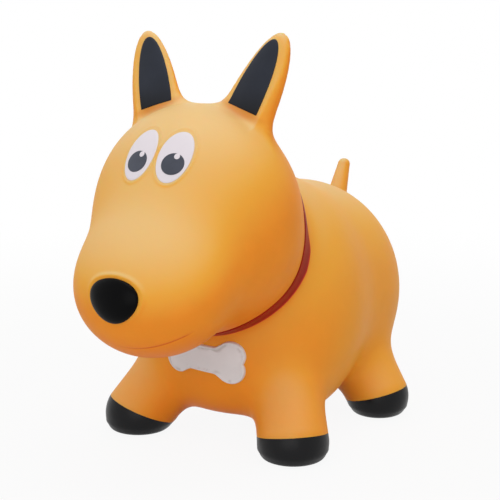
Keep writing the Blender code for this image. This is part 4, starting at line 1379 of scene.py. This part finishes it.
class BOUNCY_OT_valve(bpy.types.Operator):
    """Give the valve's seat and the plug their finish"""

    bl_idname = "bouncy.valve"
    bl_label = "Valve and plug"

    def execute(self, context):
        valve = context.scene.bouncy_valve
        seat = soft_plastic("valve_pvc", valve.seat_colour, roughness=0.42, mottle=0.03)
        plug = soft_plastic("plug_plastic", valve.plug_colour, roughness=0.34, mottle=0.02)
        dressed = (("valve_seat", seat, "valve_soft_white"), ("air_plug", plug, "plug_white"))
        for node, finish, slot in dressed:
            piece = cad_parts[node]
            piece.data.materials.clear()
            piece.data.materials.append(finish.material)
        return {"FINISHED"}


def lamp(name, offset, power):
    """A square lamp that shines on the dog's middle from an offset."""
    light = bpy.data.lights.new(name, "AREA")
    light.size = LAMP_SIZE
    light.energy = power
    item = linked(name, light)
    item.location = (CAD_BOX[0] + CAD_BOX[1]) / 2 + offset
    item.rotation_euler = offset.to_track_quat("Z", "Y").to_euler()


def white_to_camera(nodes, shader, share, end):
    """Shows plain white where the camera or a mirror looks, so that the ground reads as white.

    The share is a number or a Value, and the end is the name of the tree's output node.
    """
    path = nodes.node("ShaderNodeLightPath").outputs
    seen = Value(nodes, path["Is Camera Ray"])
    for ray in ("Is Glossy Ray", "Is Transmission Ray"):
        seen = seen.larger(Value(nodes, path[ray]))
    glow = nodes.node("ShaderNodeEmission", None, {"Color": (1, 1, 1, 1), "Strength": 1})
    inputs = {0: seen * share, 1: shader.outputs[0], 2: glow.outputs[0]}
    mixed = nodes.node("ShaderNodeMixShader", None, inputs)
    nodes.fill(nodes.tree.nodes[end].inputs["Surface"], mixed.outputs[0])


class BOUNCY_OT_stage(bpy.types.Operator):
    """Make the floor, the sky, the lamps and the camera"""

    bl_idname = "bouncy.stage"
    bl_label = "Stage"

    def execute(self, context):
        stage = context.scene.bouncy_stage
        self.make_floor(stage)
        self.make_sky(context.scene, stage)
        lamp("key", KEY_PLACE, stage.key_power)
        lamp("overhead", OVERHEAD_PLACE, stage.top_power)
        self.make_camera(context.scene)
        return {"FINISHED"}

    def make_floor(self, stage):
        built = bmesh.new()
        bmesh.ops.create_grid(built, x_segments=1, y_segments=1, size=FLOOR_HALF_SIZE)
        floor = linked("floor", mesh_from(built, "floor"))
        finish = Finish("floor_paint", stage.floor_colour, roughness=0.8)
        across, ahead, _ = finish.places()
        away = (across * across + ahead * ahead) ** 0.5
        share = away.between(*FLOOR_WHITE_REACHES) * (1 - FLOOR_NEAR_SHARE) + FLOOR_NEAR_SHARE
        white_to_camera(finish, finish.shader, share, "Material Output")
        floor.data.materials.append(finish.material)

    def make_sky(self, scene, stage):
        world = bpy.data.worlds.new("studio")
        world.use_nodes = True
        nodes = Nodes(world.node_tree)
        sky = nodes.tree.nodes["Background"]
        nodes.fill(sky.inputs["Color"], (1, 1, 1, 1))
        nodes.fill(sky.inputs["Strength"], stage.world_strength)
        white_to_camera(nodes, sky, 1.0, "World Output")
        scene.world = world

    def make_camera(self, scene):
        azimuth, elevation = math.radians(CAMERA_AZIMUTH), math.radians(CAMERA_ELEVATION)
        level = Vector((math.sin(azimuth), -math.cos(azimuth), 0))
        back = level * math.cos(elevation) + Vector((0, 0, math.sin(elevation)))
        camera = linked("camera", bpy.data.cameras.new("camera"))
        camera.data.sensor_width = SENSOR_WIDTH
        camera.data.lens = FOCAL_PIXELS * SENSOR_WIDTH / IMAGE_PIXELS
        camera.location = CAMERA_TARGET + back * CAMERA_DISTANCE
        camera.rotation_euler = back.to_track_quat("Z", "Y").to_euler()
        scene.camera = camera
        scene.view_settings.view_transform = "Standard"


OPERATORS = (
    BOUNCY_OT_skin,
    BOUNCY_OT_collar,
    BOUNCY_OT_bone,
    BOUNCY_OT_nose,
    BOUNCY_OT_eyes,
    BOUNCY_OT_ears,
    BOUNCY_OT_valve,
    BOUNCY_OT_stage,
)
SETTINGS = {
    "bouncy_skin": BouncySkin,
    "bouncy_feet": BouncyFeet,
    "bouncy_collar": BouncyCollar,
    "bouncy_bone": BouncyBone,
    "bouncy_nose": BouncyNose,
    "bouncy_eyes": BouncyEyes,
    "bouncy_ears": BouncyEars,
    "bouncy_valve": BouncyValve,
    "bouncy_stage": BouncyStage,
}


class BOUNCY_PT_sidebar(bpy.types.Panel):
    """Lists the dog's pieces and their settings"""

    bl_idname = "BOUNCY_PT_sidebar"
    bl_label = "Bouncy Dog"
    bl_space_type = "VIEW_3D"
    bl_region_type = "UI"
    bl_category = "Bouncy Dog"

    def draw(self, context):
        for operator in OPERATORS:
            self.layout.operator(operator.bl_idname)
        for name, group in SETTINGS.items():
            box = self.layout.box()
            box.label(text=name.removeprefix("bouncy_").capitalize())
            for prop in group.__annotations__:
                box.prop(getattr(context.scene, name), prop)


def register():
    for group in SETTINGS.values():
        bpy.utils.register_class(group)
    for name, group in SETTINGS.items():
        setattr(bpy.types.Scene, name, PointerProperty(type=group))
    for item in (*OPERATORS, BOUNCY_PT_sidebar):
        bpy.utils.register_class(item)


def unregister():
    for item in (BOUNCY_PT_sidebar, *reversed(OPERATORS)):
        bpy.utils.unregister_class(item)
    for name in SETTINGS:
        delattr(bpy.types.Scene, name)
    for group in SETTINGS.values():
        bpy.utils.unregister_class(group)


def main():
    register()
    for operator in OPERATORS:
        group, name = operator.bl_idname.split(".")
        getattr(getattr(bpy.ops, group), name)()


if __name__ == "__main__":
    main()
